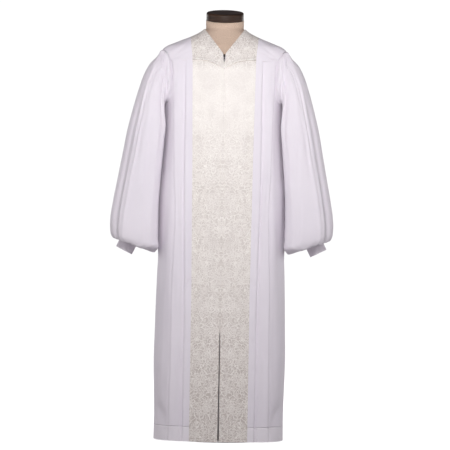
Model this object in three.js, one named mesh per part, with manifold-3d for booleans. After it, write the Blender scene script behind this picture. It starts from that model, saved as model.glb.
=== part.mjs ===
// Pulpit robe on a limbless dress form. Millimetres, +Z up, and the robe faces -Y.
// The origin of the finished part is the centre of the base's underside, on the floor.
import * as THREE from "three";
import { mergeVertices } from "three/addons/utils/BufferGeometryUtils.js";
import Module from "manifold-3d";

const wasm = await Module();
wasm.setup();

// ---- Driving sizes

const CLOTH = 1.5; // thickness of the cloth wall
const SEAM_GAP = 0.3; // between two pieces at a seam
const ROUNDNESS = 2.6; // power of the superellipse that the robe's girth follows
const PLEAT_PITCH = 2.4; // from one layer of a knife pleat to the next
const PLEAT_UNDERLAY = 15; // how far a knife pleat folds back under its edge
const ROLL = 1.1; // how proud the brocade yoke's rolled lower edge stands
const SLIT_TOP = 404;
const SLIT_GAPE = { top: 1.2, hem: 2.5 }; // from the centre to each edge of the open slit
const HEM = 16;
const FLOOR = 12; // the floor in the heights of this file; the finished part stands at zero
const HEM_DEPTH = 50; // height of the turned-up hem
const YOKE_SEAM = 1338;
const BACK_YOKE_SEAM = 1300;
const V_BOTTOM = 1362;
const V_SEAM = 1311; // where the brocade yoke's curved seam meets the centre
const SHOULDER_TIP = 1374;
const UNDERARM = 1190;
const ARMHOLE_MIDDLE = (SHOULDER_TIP + UNDERARM) / 2;
const ARMHOLE_WIDTH = 0.61; // radians of the girth from the side to the armhole's edge
const NECK_X = 72; // where the neckline meets the shoulder's ridge
const YOKE_BOW = { front: 6, back: 12 }; // how far a yoke's columns bow in beside the armhole
const BACK_NECK_DIP = 5;

// The robe's girth: half width, and depth of the front and of the back, at each height
const GIRTH = [
  { z: 16, half: 227, front: 157, back: 166 },
  { z: 100, half: 226, front: 155, back: 164 },
  { z: 200, half: 228, front: 152, back: 161 },
  { z: 300, half: 230, front: 149, back: 157 },
  { z: 400, half: 228, front: 145, back: 152 },
  { z: 500, half: 226, front: 142, back: 147 },
  { z: 600, half: 223, front: 138, back: 143 },
  { z: 650, half: 221, front: 136, back: 141 },
  { z: 700, half: 222, front: 134, back: 139 },
  { z: 850, half: 222, front: 130, back: 134 },
  { z: 971, half: 213, front: 127, back: 130 },
  { z: 1090, half: 205, front: 124, back: 127 },
  { z: 1190, half: 205, front: 122, back: 125 },
  { z: 1260, half: 211, front: 117, back: 121 },
  { z: 1300, half: 215, front: 111, back: 116 },
  { z: 1338, half: 218, front: 101, back: 108 },
  { z: 1362, half: 219.5, front: 93, back: 101 },
  { z: 1375, half: 217, front: 88, back: 97 },
  { z: 1388, half: 203, front: 83, back: 91 },
  { z: 1400, half: 177, front: 77, back: 85 },
  { z: 1413, half: 144, front: 71, back: 79 },
  { z: 1425, half: 114, front: 66, back: 73 },
  { z: 1440, half: 86, front: 60, back: 66 },
  { z: 1450, half: 73.5, front: 57, back: 62 },
  { z: 1460, half: 66, front: 54, back: 59 },
];

// Where the long lines of the front lie, as distances from the centre in the front view
const FRONT_LINES = [
  { z: 16, brocade: 101, pleat1: 125, pleat2: 177 },
  { z: 300, brocade: 101, pleat1: 125, pleat2: 174 },
  { z: 533, brocade: 101, pleat1: 126, pleat2: 172.5 },
  { z: 620, brocade: 102, pleat1: 127.5, pleat2: 170 },
  { z: 800, brocade: 103.5, pleat1: 131, pleat2: 165 },
  { z: 953, brocade: 105, pleat1: 133, pleat2: 171 },
  { z: 1200, brocade: 108.5, pleat1: 133.5, pleat2: 177 },
  { z: 1338, brocade: 110.6, pleat1: 134, pleat2: 181 },
  { z: 1423, brocade: 119, pleat1: 136, pleat2: 183 },
];

// The brocade yoke's curved lower seam, from the centre out
const YOKE_CURVE = [
  { x: 0, z: 1311 },
  { x: 25, z: 1322 },
  { x: 38, z: 1329 },
  { x: 58, z: 1335 },
  { x: 82, z: 1338 },
  { x: 120, z: 1338 },
];

// Soft troughs across the front panel, each from one end to the other in the front view
const FRONT_TROUGHS = [
  { x0: 128, z0: 470, x1: 160, z1: 262, deep: 5, wide: 15 },
  { x0: 222, z0: 150, x1: 190, z1: 60, deep: 6, wide: 15 },
  { x0: 199, z0: 900, x1: 205, z1: 560, deep: 4, wide: 12 },
];

// Soft pleats of the back: their share of the way round from the centre to the side, and size
const BACK_FOLDS = [
  { at: 0.0, wide: 0.05, deep: 13 },
  { at: 0.14, wide: 0.045, deep: 15 },
  { at: 0.27, wide: 0.05, deep: 12 },
  { at: 0.41, wide: 0.045, deep: 15 },
  { at: 0.56, wide: 0.05, deep: 11 },
  { at: 0.72, wide: 0.05, deep: 8 },
];

// The sleeve's rings below the armhole: outer and inner end of each, and its depth
const SLEEVE = [
  { outX: 219, outZ: 1374, inX: 205, inZ: 1190, deep: 80, gather: 0 },
  { outX: 237, outZ: 1351, inX: 209, inZ: 1180, deep: 84, gather: 3 },
  { outX: 260, outZ: 1326, inX: 210, inZ: 1168, deep: 89, gather: 2.4 },
  { outX: 280, outZ: 1288, inX: 210, inZ: 1150, deep: 92, gather: 1.2 },
  { outX: 298, outZ: 1235, inX: 210, inZ: 1125, deep: 95, gather: 0.5 },
  { outX: 315, outZ: 1175, inX: 210.5, inZ: 1092, deep: 97, gather: 0 },
  { outX: 334, outZ: 1098, inX: 213, inZ: 1052, deep: 98, gather: 0 },
  { outX: 350, outZ: 1012, inX: 217, inZ: 992, deep: 99, gather: 0 },
  { outX: 366, outZ: 925, inX: 223, inZ: 915, deep: 100, gather: 0 },
  { outX: 380, outZ: 850, inX: 227, inZ: 832, deep: 101, gather: 0 },
  { outX: 389, outZ: 790, inX: 227, inZ: 765, deep: 102, gather: 0 },
  { outX: 390, outZ: 753, inX: 226.5, inZ: 712, deep: 101, gather: 0.5 },
  { outX: 386.5, outZ: 728, inX: 227, inZ: 680, deep: 96, gather: 1 },
  { outX: 378, outZ: 715, inX: 234, inZ: 667, deep: 86, gather: 1.6 },
  { outX: 364, outZ: 716, inX: 252, inZ: 671, deep: 66, gather: 2 },
];

// Long troughs of the sleeve: their place round the ring, and the rings they run between
const SLEEVE_TROUGHS = [
  { angle0: 1.18, ring0: 0.8, angle1: 1.28, ring1: 6, deep: 6, wide: 0.17 },
  { angle0: 0.86, ring0: 5.5, angle1: 0.72, ring1: 12.5, deep: 8, wide: 0.18 },
  { angle0: 1.95, ring0: 1.5, angle1: 2.1, ring1: 5.5, deep: 7, wide: 0.16 },
  { angle0: -0.95, ring0: 0.8, angle1: -0.8, ring1: 7, deep: 6, wide: 0.18 },
  { angle0: -1.7, ring0: 5, angle1: -1.55, ring1: 12.5, deep: 8, wide: 0.2 },
];

const SLEEVE_HUG = 14.5; // how far the sleeve's inner corners reach round the robe's side
const HEAD_STAND = 2.2; // how far the sleeve's head stands out of the armhole before it turns

const CUFF = { half: 31.5, deep: 24, wall: 2, length: 62, endX: 341, endZ: 672, lean: 0.464 };

// The dress form's torso, from its underside to the top of its neck
const TORSO = [
  { z: 760, half: 150, front: 92, back: 92 },
  { z: 880, half: 165, front: 101, back: 101 },
  { z: 1000, half: 148, front: 96, back: 95 },
  { z: 1120, half: 152, front: 99, back: 99 },
  { z: 1220, half: 166, front: 103, back: 106 },
  { z: 1300, half: 182, front: 98, back: 104 },
  { z: 1372, half: 193, front: 79, back: 87 },
];
const FORM_SHOULDERS = [1392, 1400, 1413, 1425, 1437]; // where the form follows the robe's inside
// From the robe's outer face in to the form, at the shoulders
const FORM_CLEARANCE = { front: 3.2, back: 6.5 };
const FORM_COLUMNS = 34;
// The neck's top and the cap on it lean forward by the tilt, in radians
const FORM_NECK = { half: 66.4, deep: 54, from: 1452, top: 1482.2, tilt: 0.235 };
const NECK_RINGS = [
  { z: FORM_NECK.from, lean: 0 },
  { z: 1466, lean: 0.4 },
  { z: FORM_NECK.top, lean: 1 },
];
const CAP = { half: 65.5, height: 28 };
const POLE_RADIUS = 12.5;
const BASE = { radius: 138, height: 6 };

const SLIDER = { width: 7.4, length: 10, thick: 3.2, top: 1358, proud: 1.7 };
const BRIDGE = { inner: 1.2, outer: 2.2, width: 1.6, axis: 1.1 }; // axis: its height over the slider
// bar: the pin's radius; window: the width of the eye that the bridge goes through
const PULL = { length: 22, width: 4.6, thick: 1.3, bar: 0.7, window: 2.4, rim: 1.1, hole: 5 };
const SLIDER_ROOM = { from: 1332, full: 1346 }; // where the brocade edges part for the slider
const ZIP = { half: 11, thick: 1, behind: 0.45 };

// ---- Colours and finishes

const finish = (color, roughness, metalness = 0) =>
  new THREE.MeshStandardMaterial({ color, roughness, metalness });
const WHITE_CLOTH = finish(0xf2eef3, 0.85);
const BROCADE = finish(0xf4f0e6, 0.55);
const LINEN = finish(0xceb4a2, 0.95);
const DARK_WOOD = finish(0x42352e, 0.4);
const DARK_METAL = finish(0x55504c, 0.4, 0.9);
const PAINTED_STEEL = finish(0xe6e4e2, 0.5, 0.1);

const robe = new THREE.Group();

// ---- Small helpers

const mix = (a, b, t) => a + (b - a) * t;
const clamp = (value, low, high) => Math.min(high, Math.max(low, value));
const signedPower = (value, power) => Math.sign(value) * Math.abs(value) ** power;
const bump = (distance) => Math.exp(-distance * distance);

function smooth(from, to, value) {
  const t = clamp((value - from) / (to - from), 0, 1);
  return t * t * (3 - 2 * t);
}

// The column's value in the table at the key's value, along a curve that never overshoots
function lookUp(table, key, column, value) {
  const last = table.length - 1;
  const at = clamp(value, table[0][key], table[last][key]);
  let i = 0;
  while (i < last - 1 && table[i + 1][key] < at) i += 1;
  const slope = (k) => (table[k + 1][column] - table[k][column]) / (table[k + 1][key] - table[k][key]);
  const tangent = (k) => {
    if (k === 0) return slope(0);
    if (k === last) return slope(last - 1);
    const before = slope(k - 1);
    const after = slope(k);
    return before * after <= 0 ? 0 : (2 * before * after) / (before + after);
  };
  const span = table[i + 1][key] - table[i][key];
  const t = (at - table[i][key]) / span;
  const rise = t * t * (3 - 2 * t);
  return (
    mix(table[i][column], table[i + 1][column], rise) +
    span * tangent(i) * t * (1 - t) ** 2 -
    span * tangent(i + 1) * t * t * (1 - t)
  );
}

// The number of even steps from one value to the other, both ends included
function steps(from, to, count) {
  return Array.from({ length: count + 1 }, (_, i) => mix(from, to, i / count));
}

// ---- The robe's outer surface, by angle round the girth: 0 at the front, PI / 2 at the right side

function girthPoint(angle, z) {
  const half = lookUp(GIRTH, "z", "half", z);
  const depth = lookUp(GIRTH, "z", Math.cos(angle) > 0 ? "front" : "back", z);
  const power = 2 / ROUNDNESS;
  const x = half * signedPower(Math.sin(angle), power);
  const y = -depth * signedPower(Math.cos(angle), power);
  return new THREE.Vector3(x, y, z);
}

function girthNormal(angle, z) {
  const turn = 0.02;
  const rise = 2;
  const low = Math.max(GIRTH[0].z, z - rise);
  const across = girthPoint(angle + turn, z).sub(girthPoint(angle - turn, z));
  const up = girthPoint(angle, z + rise).sub(girthPoint(angle, low));
  return across.cross(up).normalize();
}

// A point of the girth moved out along its normal
function onRobe(angle, z, lift) {
  return girthPoint(angle, z).addScaledVector(girthNormal(angle, z), lift);
}

// The angle of the front at a distance from the centre in the front view
function frontAngle(x, z) {
  const ratio = clamp(x / lookUp(GIRTH, "z", "half", z), -1, 1);
  return Math.asin(signedPower(ratio, ROUNDNESS / 2));
}

// The height of the shoulder's ridge at a distance from the centre
function ridgeHeight(x) {
  let low = SHOULDER_TIP - 2;
  let high = GIRTH[GIRTH.length - 1].z;
  while (high - low > 0.001) {
    const middle = (low + high) / 2;
    if (lookUp(GIRTH, "z", "half", middle) > x) low = middle;
    else high = middle;
  }
  return low;
}

// The angle that half a seam's gap takes up at the side of the girth
function halfSeam(z) {
  return (SEAM_GAP / 2 / lookUp(GIRTH, "z", "front", z)) ** (ROUNDNESS / 2);
}

const BROCADE_SHOULDER = 119; // the brocade's outer edge at the shoulder, from the centre
const frontLine = (name, z) => lookUp(FRONT_LINES, "z", name, z);
const yokeCurve = (x) => lookUp(YOKE_CURVE, "x", "z", x);

// ---- The armhole: half its angular width at a height, and the heights of its corners

function armholeWidth(z) {
  const reach = (z - ARMHOLE_MIDDLE) / (SHOULDER_TIP - ARMHOLE_MIDDLE);
  const power = reach > 0 ? 4 : 2.5;
  return ARMHOLE_WIDTH * (1 - clamp(Math.abs(reach), 0, 1) ** power) ** (1 / power);
}

// The height at which the armhole has a share of its width, above or below its middle
function armholeHeight(share, above) {
  const power = above ? 4 : 2.5;
  const reach = (1 - share ** power) ** (1 / power);
  return ARMHOLE_MIDDLE + (above ? 1 : -1) * reach * (SHOULDER_TIP - ARMHOLE_MIDDLE);
}

const UPPER_SHARES = [0, 0.24, 0.44, 0.62, 0.78, 0.9];
const LOWER_SHARES = [0.95, 0.76, 0.44, 0];
const HEAD_HEIGHTS = UPPER_SHARES.map((share) => armholeHeight(share, true));
const LOW_HEIGHTS = LOWER_SHARES.map((share) => armholeHeight(share, false));

// The heights of the armhole's corners from the shoulder's tip down, with the seam among them
function armholeHeights(seam) {
  const upper = HEAD_HEIGHTS.filter((z) => z > seam + 4);
  return [...upper, seam, (seam + ARMHOLE_MIDDLE) / 2, ARMHOLE_MIDDLE, ...LOW_HEIGHTS];
}

const LONG_ROWS = [HEM, HEM + HEM_DEPTH, 170, 280, SLIT_TOP, 500, 620, 760, 900, 1020, 1120];

// The heights of the rows of a panel that reaches up to a yoke's seam
function panelRows(seam) {
  const corners = armholeHeights(seam);
  return [...LONG_ROWS, ...corners.slice(corners.indexOf(seam)).reverse()];
}

// ---- Closed walls from grids of points

// Joins the outer and inner grid of a wall into one closed mesh; a round one closes on itself
function wallGeometry(outer, inner, round = false) {
  const rows = outer.length;
  const columns = outer[0].length;
  const points = [...outer.flat(), ...inner.flat()];
  const place = (row, column) => row * columns + (column % columns);
  const inside = rows * columns;
  const faces = [];
  const quad = (a, b, c, d) => faces.push(a, b, c, a, c, d);
  const spans = round ? columns : columns - 1;
  for (let i = 0; i < rows - 1; i += 1) {
    for (let j = 0; j < spans; j += 1) {
      const [a, b, c, d] = [place(i, j), place(i, j + 1), place(i + 1, j + 1), place(i + 1, j)];
      quad(a, b, c, d);
      quad(inside + a, inside + d, inside + c, inside + b);
    }
  }
  const last = (rows - 1) * columns;
  for (let j = 0; j < spans; j += 1) {
    const next = (j + 1) % columns;
    quad(j, inside + j, inside + next, next);
    quad(last + next, inside + last + next, inside + last + j, last + j);
  }
  for (let i = 0; i < rows - 1 && !round; i += 1) {
    const [a, b] = [place(i, 0), place(i + 1, 0)];
    const [c, d] = [a + columns - 1, b + columns - 1];
    quad(b, inside + b, inside + a, a);
    quad(c, inside + c, inside + d, d);
  }
  return geometryOf(points, faces);
}

function geometryOf(points, faces) {
  const geometry = new THREE.BufferGeometry().setFromPoints(points);
  geometry.setIndex(faces);
  return geometry;
}

// Closes a stack of rings at its ends with a fan to the middle of each end
function loftGeometry(rings) {
  const count = rings[0].length;
  const points = rings.flat();
  const faces = [];
  const quad = (a, b, c, d) => faces.push(a, b, c, a, c, d);
  for (let i = 0; i < rings.length - 1; i += 1) {
    for (let j = 0; j < count; j += 1) {
      const next = (j + 1) % count;
      quad(i * count + j, i * count + next, (i + 1) * count + next, (i + 1) * count + j);
    }
  }
  const middle = (ring) => ring.reduce((sum, p) => sum.add(p), new THREE.Vector3()).divideScalar(count);
  const bottom = points.push(middle(rings[0])) - 1;
  const top = points.push(middle(rings[rings.length - 1])) - 1;
  const last = (rings.length - 1) * count;
  for (let j = 0; j < count; j += 1) {
    const next = (j + 1) % count;
    faces.push(next, j, bottom, last + j, last + next, top);
  }
  return geometryOf(points, faces);
}

// The normals of a grid of points, from each point's neighbours
function gridNormals(grid, round = false) {
  const rows = grid.length;
  const columns = grid[0].length;
  const wrap = (j) => (round ? (j + columns) % columns : clamp(j, 0, columns - 1));
  return grid.map((row, i) =>
    row.map((_, j) => {
      const across = row[wrap(j + 1)].clone().sub(row[wrap(j - 1)]);
      const up = grid[Math.min(i + 1, rows - 1)][j].clone().sub(grid[Math.max(i - 1, 0)][j]);
      return across.cross(up).normalize();
    }),
  );
}

const moved = (grid, normals, distance) =>
  grid.map((row, i) => row.map((point, j) => point.clone().addScaledVector(normals[i][j], distance)));

// A wall whose middle lies on the grid
function wallAbout(grid, thickness, round = false) {
  const normals = gridNormals(grid, round);
  return wallGeometry(moved(grid, normals, thickness / 2), moved(grid, normals, -thickness / 2), round);
}

// Places at even distances along a path on the robe that runs from 0 to 1
function evenRows(path, count) {
  const samples = 120;
  const shares = steps(0, 1, samples).map((t) => 1 - (1 - t) ** 3);
  const points = shares.map((t) => girthPoint(path(t).angle, path(t).z));
  const lengths = points.map((_, i) => (i ? points[i].distanceTo(points[i - 1]) : 0));
  const reached = lengths.map((_, i) => lengths.slice(0, i + 1).reduce((sum, part) => sum + part, 0));
  return steps(0, reached[samples], count).map((target, k) => {
    const i = reached.findIndex((length) => length >= target);
    if (k === 0 || k === count) return path(k / count);
    const t = (target - reached[i - 1]) / (reached[i] - reached[i - 1]);
    return path(mix(shares[i - 1], shares[i], t));
  });
}

// A wall on the robe's surface, from a grid of {angle, z, lift} places of its outer face
function wallOnRobe(places, thickness = CLOTH) {
  const point = (place, depth) => onRobe(place.angle, place.z, (place.lift || 0) - depth);
  const layer = (depth) => places.map((row) => row.map((place) => point(place, depth)));
  return wallGeometry(layer(0), layer(thickness));
}

// The same solid on the other side of the centre
function mirrored(geometry) {
  const copy = geometry.clone().scale(-1, 1, 1);
  const index = copy.index.array;
  for (let i = 0; i < index.length; i += 3) [index[i], index[i + 1]] = [index[i + 1], index[i]];
  return copy;
}

function add(name, geometry, material) {
  const mesh = new THREE.Mesh(geometry, material);
  mesh.name = name;
  robe.add(mesh);
}

function addPair(name, geometry, material) {
  add(name + "_right", geometry, material);
  add(name + "_left", mirrored(geometry), material);
}

// ---- The brocade

// How far a brocade edge stands from the centre: closed zip above, open slit below
function centreEdge(z) {
  const down = (SLIT_TOP - z) / (SLIT_TOP - HEM);
  const slit = smooth(SLIT_TOP, SLIT_TOP - 20, z) * mix(SLIT_GAPE.top, SLIT_GAPE.hem, down);
  const sliderRoom = smooth(SLIDER_ROOM.from, SLIDER_ROOM.full, z) * (SLIDER.width / 2 + 0.3);
  return SEAM_GAP / 2 + Math.max(slit, sliderRoom);
}

function brocadePanel() {
  const heights = panelRows(YOKE_SEAM).filter((z) => z < V_SEAM - 20);
  heights.splice(heights.indexOf(SLIT_TOP), 0, SLIT_TOP - 12);
  const columns = [0, 0.1, 0.22, 0.36, 0.56, 0.78, 1];
  const rows = heights.map((z) =>
    columns.map((u) => {
      const x = mix(centreEdge(z), frontLine("brocade", z) - SEAM_GAP / 2, u);
      return { angle: frontAngle(x, z), z };
    }),
  );
  const highest = heights[heights.length - 1];
  const upper = [0.5, 1].map((t) =>
    columns.map((u) => {
      const outer = frontLine("brocade", mix(highest, YOKE_SEAM, t)) - SEAM_GAP / 2;
      const x = mix(centreEdge(V_SEAM), outer, u);
      const z = mix(highest, yokeCurve(x) - SEAM_GAP, t);
      return { angle: frontAngle(x, z), z };
    }),
  );
  return wallOnRobe([...rows, ...upper]);
}

function brocadeYoke() {
  const columns = [0, 0.1, 0.22, 0.36, 0.56, 0.78, 1];
  const centreHeights = [V_SEAM, SLIDER_ROOM.from, SLIDER_ROOM.full, V_BOTTOM];
  const centreRows = centreHeights.length - 1;
  const outerHigh = ridgeHeight(BROCADE_SHOULDER);
  const neckHigh = ridgeHeight(NECK_X);
  // t runs from 0 at the seam to 1 at the height of the V's bottom, and to 2 at the shoulder
  const inner = (t) => {
    if (t > 1) {
      const x = mix(centreEdge(V_BOTTOM), NECK_X, t - 1);
      return { x, z: mix(V_BOTTOM, neckHigh, t - 1) };
    }
    const step = Math.min(Math.floor(t * centreRows), centreRows - 1);
    const z = mix(centreHeights[step], centreHeights[step + 1], t * centreRows - step);
    return { x: centreEdge(z), z };
  };
  const outer = (t) => {
    const z = mix(YOKE_SEAM, outerHigh, t / 2);
    return { x: frontLine("brocade", z) - SEAM_GAP / 2, z };
  };
  const place = (u, t) => {
    const seamX = mix(inner(0).x, outer(0).x, u);
    const ridgeX = mix(NECK_X, outer(2).x, u);
    const seamSag = yokeCurve(seamX) - mix(V_SEAM, YOKE_SEAM, u);
    const ridgeSag = ridgeHeight(ridgeX) - mix(neckHigh, outerHigh, u);
    const x = mix(inner(t).x, outer(t).x, u);
    const z = mix(inner(t).z, outer(t).z, u) + mix(seamSag, ridgeSag, t / 2);
    const angle = t === 2 ? Math.PI / 2 - halfSeam(z) : frontAngle(x, Math.min(z, ridgeHeight(x)));
    return { angle, z, lift: ROLL * (1 - smooth(0, 0.45, t)) };
  };
  const lower = columns.map((u) => steps(0, 1, centreRows).map((t) => place(u, t)));
  const upper = columns.map((u) => evenRows((t) => place(u, 1 + t), 7));
  const joined = columns.map((_, k) => [...lower[k], ...upper[k].slice(1)]);
  return wallOnRobe(joined[0].map((_, row) => joined.map((column) => column[row])));
}

// ---- The plain white pieces

// The columns of a yoke from its seam to the shoulder, the last of them along the armhole
function yokeColumns(shares, columnPath, edge) {
  return shares.map((u) => (Math.abs(u) === 1 ? edge(u) : evenRows(columnPath(u), edge(1).length - 1)));
}

const rowsOf = (columns) => columns[0].map((_, row) => columns.map((column) => column[row]));

// A yoke's edge along the armhole, from its seam up to the shoulder's tip
function armholeEdge(seam, low) {
  const heights = armholeHeights(seam);
  const corners = heights.slice(0, heights.indexOf(seam) + 1).reverse();
  const places = corners.map((z) => ({ angle: sideEdge(z), z: Math.max(z, low) }));
  const point = (place) => girthPoint(place.angle, place.z);
  return places.flatMap((here, i) => {
    const next = places[i + 1];
    if (!next) return [here];
    const middle = point(here).lerp(point(next), 0.5);
    return [here, { angle: frontAngle(middle.x, middle.z), z: middle.z }];
  });
}

function frontYoke() {
  const low = YOKE_SEAM + SEAM_GAP;
  const edge = () => armholeEdge(YOKE_SEAM, low);
  const seamEnd = girthPoint(Math.PI / 2 - armholeWidth(YOKE_SEAM), YOKE_SEAM).x;
  const tip = girthPoint(Math.PI / 2, SHOULDER_TIP).x;
  const path = (u) => (t) => {
    const ridgeX = mix(BROCADE_SHOULDER + SEAM_GAP / 2, tip, u);
    const z = mix(low, ridgeHeight(ridgeX), t);
    const bow = 4 * t * (1 - t) * u * YOKE_BOW.front;
    const outerX = mix(seamEnd, tip, t) - bow;
    const x = mix(frontLine("brocade", z) + SEAM_GAP / 2, outerX, u);
    return { angle: t === 1 ? Math.PI / 2 - halfSeam(z) : frontAngle(x, z), z };
  };
  return wallOnRobe(rowsOf(yokeColumns([0, 0.2, 0.4, 0.6, 0.8, 1], path, edge)));
}

// The soft troughs' depth at a place of the front view
function troughDepth(x, z) {
  return FRONT_TROUGHS.reduce((sum, t) => {
    const along = clamp((z - t.z0) / (t.z1 - t.z0), 0, 1);
    const away = (x - mix(t.x0, t.x1, along)) / t.wide;
    const beyond = Math.max(0, t.z1 - z, z - t.z0) / (3 * t.wide);
    return sum + t.deep * bump(away) * bump(beyond) * Math.sin(Math.PI * mix(0.15, 0.85, along));
  }, 0);
}

// Half a turn of the cloth about a point of the section, from above it to below it or back
function foldPoints(x, depth, outwards) {
  const radius = PLEAT_PITCH / 2;
  return [-Math.PI / 3, 0, Math.PI / 3].map((turn) => {
    const swing = radius * Math.cos(turn) * (outwards ? 1 : -1);
    return { x: x + swing, lift: -depth - radius - radius * Math.sin(turn) };
  });
}

// A knife pleat whose fold edge lies at a distance from the centre, from its top layer on
function knifePleat(edge) {
  const radius = PLEAT_PITCH / 2;
  const out = edge - radius - CLOTH / 2;
  const back = out - PLEAT_UNDERLAY;
  return [
    { x: out, lift: 0 },
    ...foldPoints(out, 0, true),
    { x: out, lift: -2 * radius },
    { x: back, lift: -2 * radius },
    ...foldPoints(back, 2 * radius, false),
    { x: back, lift: -4 * radius },
  ];
}

// The section of a front panel from the brocade to its end at an angle
function frontSection(z, endAngle) {
  const sunk = -2 * PLEAT_PITCH;
  const start = frontLine("brocade", z) + SEAM_GAP / 2;
  const edge1 = frontLine("pleat1", z);
  const edge2 = frontLine("pleat2", z);
  const rest = (edge2 - edge1) / 4;
  const flat = [
    { x: start, lift: 0 },
    { x: mix(start, edge1, 0.45), lift: 0 },
    ...knifePleat(edge1),
    { x: edge1 + 4, lift: sunk },
    { x: edge1 + rest * 1.6, lift: sunk * 0.6 },
    { x: edge1 + rest * 2.6, lift: sunk * 0.2 },
    ...knifePleat(edge2),
    { x: edge2 + 1, lift: sunk },
  ];
  const front = flat.map((p) => ({
    angle: frontAngle(p.x, z),
    lift: p.lift - CLOTH / 2 - troughDepth(p.x, z),
  }));
  const turn = frontAngle(edge2 + 1, z);
  const side = [0.2, 0.45, 0.72, 1].map((t) => {
    const angle = mix(turn, endAngle, t);
    const x = girthPoint(angle, z).x;
    const lift = sunk * (1 - smooth(0, 0.7, t)) - CLOTH / 2 - troughDepth(x, z) * (1 - t ** 4);
    return { angle, lift };
  });
  return [...front, ...side].map((p) => onRobe(p.angle, z, p.lift));
}

// The angle of the armhole's edge, or of the side seam below it
function sideEdge(z) {
  return Math.PI / 2 - Math.max(armholeWidth(z), halfSeam(z));
}

function frontPanel() {
  return wallAbout(
    panelRows(YOKE_SEAM).map((z) => frontSection(z, sideEdge(z))),
    CLOTH,
  );
}

// The height of the back's neck edge or shoulder ridge at a distance from the centre
function backTop(x) {
  const across = Math.abs(x) / NECK_X;
  if (across >= 1) return ridgeHeight(Math.abs(x));
  return ridgeHeight(NECK_X) - BACK_NECK_DIP * (1 - across ** 2);
}

function backYoke() {
  const low = BACK_YOKE_SEAM + SEAM_GAP;
  const edge = (u) =>
    armholeEdge(BACK_YOKE_SEAM, low).map((p) => ({ angle: Math.PI - Math.sign(u) * p.angle, z: p.z }));
  const seamEnd = girthPoint(Math.PI / 2 - armholeWidth(BACK_YOKE_SEAM), BACK_YOKE_SEAM).x;
  const tip = girthPoint(Math.PI / 2, SHOULDER_TIP).x;
  const path = (u) => (t) => {
    const ridgeX = Math.abs(u) * tip;
    const z = mix(low, backTop(ridgeX), t);
    const x = Math.abs(u) * (mix(seamEnd, tip, t) - 4 * t * (1 - t) * YOKE_BOW.back);
    const onRidge = t === 1 && ridgeX >= NECK_X;
    const angle = onRidge ? Math.PI / 2 - halfSeam(z) : frontAngle(x, z);
    return { angle: Math.PI - Math.sign(u) * angle, z };
  };
  const neck = NECK_X / tip;
  const nearNeck = [1, 0.985, 0.94, 0.8, 0.5].map((share) => neck * share);
  const half = [1, 0.87, 0.73, 0.6, 0.46, ...nearNeck];
  const shares = [...half, 0, ...half.slice().reverse().map((u) => -u)];
  return wallOnRobe(rowsOf(yokeColumns(shares, path, edge)));
}

function backFold(angle, z) {
  const grown = smooth(BACK_YOKE_SEAM, BACK_YOKE_SEAM - 500, z);
  return BACK_FOLDS.reduce((sum, fold) => {
    const drift = 0.012 * Math.sin(fold.at * 17 + z / 260);
    const away = (Math.abs(angle) / (Math.PI / 2) - fold.at - drift) / fold.wide;
    return sum + fold.deep * grown * bump(away);
  }, 0);
}

function backPanel() {
  const columns = steps(-1, 1, 32);
  const rows = panelRows(BACK_YOKE_SEAM).map((z) => {
    const reach = sideEdge(z);
    return columns.map((share) => {
      const angle = share * reach;
      return onRobe(Math.PI + angle, z, -CLOTH / 2 - backFold(angle, z));
    });
  });
  return wallAbout(rows, CLOTH);
}

// ---- Sleeves and cuffs

// The armhole's corners all round: down the front, then up the back
function armholeLoop() {
  const inset = CLOTH / 2 + SEAM_GAP + 0.25;
  const shrink = 1 - inset / (SHOULDER_TIP - ARMHOLE_MIDDLE);
  const narrow = inset / (ARMHOLE_WIDTH * 130);
  const corner = (side) => (z) => {
    const width = armholeWidth(z) * (1 - narrow);
    const shrunkZ = ARMHOLE_MIDDLE + (z - ARMHOLE_MIDDLE) * shrink;
    return { angle: Math.PI / 2 - side * width, z: shrunkZ, head: z > HEAD_HEIGHTS[5] - 12 };
  };
  const front = armholeHeights(YOKE_SEAM).map(corner(1));
  const back = armholeHeights(BACK_YOKE_SEAM).map(corner(-1));
  const loop = [...front, ...back.slice(1, -1).reverse()];
  return loop.flatMap((here, i) => {
    const next = loop[(i + 1) % loop.length];
    if (!here.head || !next.head) return [here];
    const between = { angle: mix(here.angle, next.angle, 0.5), z: mix(here.z, next.z, 0.5) };
    return [here, between];
  });
}

function sleeveTrough(angle, ring) {
  return SLEEVE_TROUGHS.reduce((sum, t) => {
    const along = clamp((ring - t.ring0) / (t.ring1 - t.ring0), 0, 1);
    const away = (angle - mix(t.angle0, t.angle1, along)) / t.wide;
    const beyond = Math.max(0, t.ring0 - ring, ring - t.ring1) / 1.2;
    return sum + t.deep * bump(away) * bump(beyond);
  }, 0);
}

// A point of one ring of the sleeve: the angle is 0 outside, PI / 2 at the front, PI inside
function sleevePoint(ring, index, angle, wave) {
  const middle = new THREE.Vector3((ring.outX + ring.inX) / 2, 0, (ring.outZ + ring.inZ) / 2);
  const long = new THREE.Vector3(ring.outX - ring.inX, 0, ring.outZ - ring.inZ).divideScalar(2);
  const fullness = 1 + (ring.gather * wave - sleeveTrough(angle, index)) / 90;
  const below = smooth(1, 5, index) * (1 - smooth(12, 13.5, index));
  const outside = Math.cos(angle) > 0;
  const along = signedPower(Math.cos(angle), outside ? 0.9 : mix(0.9, 0.45, below));
  const deep = -ring.deep * signedPower(Math.sin(angle), 0.9) * fullness;
  const hug = outside ? 0 : SLEEVE_HUG * below * Math.sin(2 * angle) ** 2;
  middle.addScaledVector(long, along * (outside ? fullness : 1));
  return middle.add(new THREE.Vector3(-hug, deep, 0));
}

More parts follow.
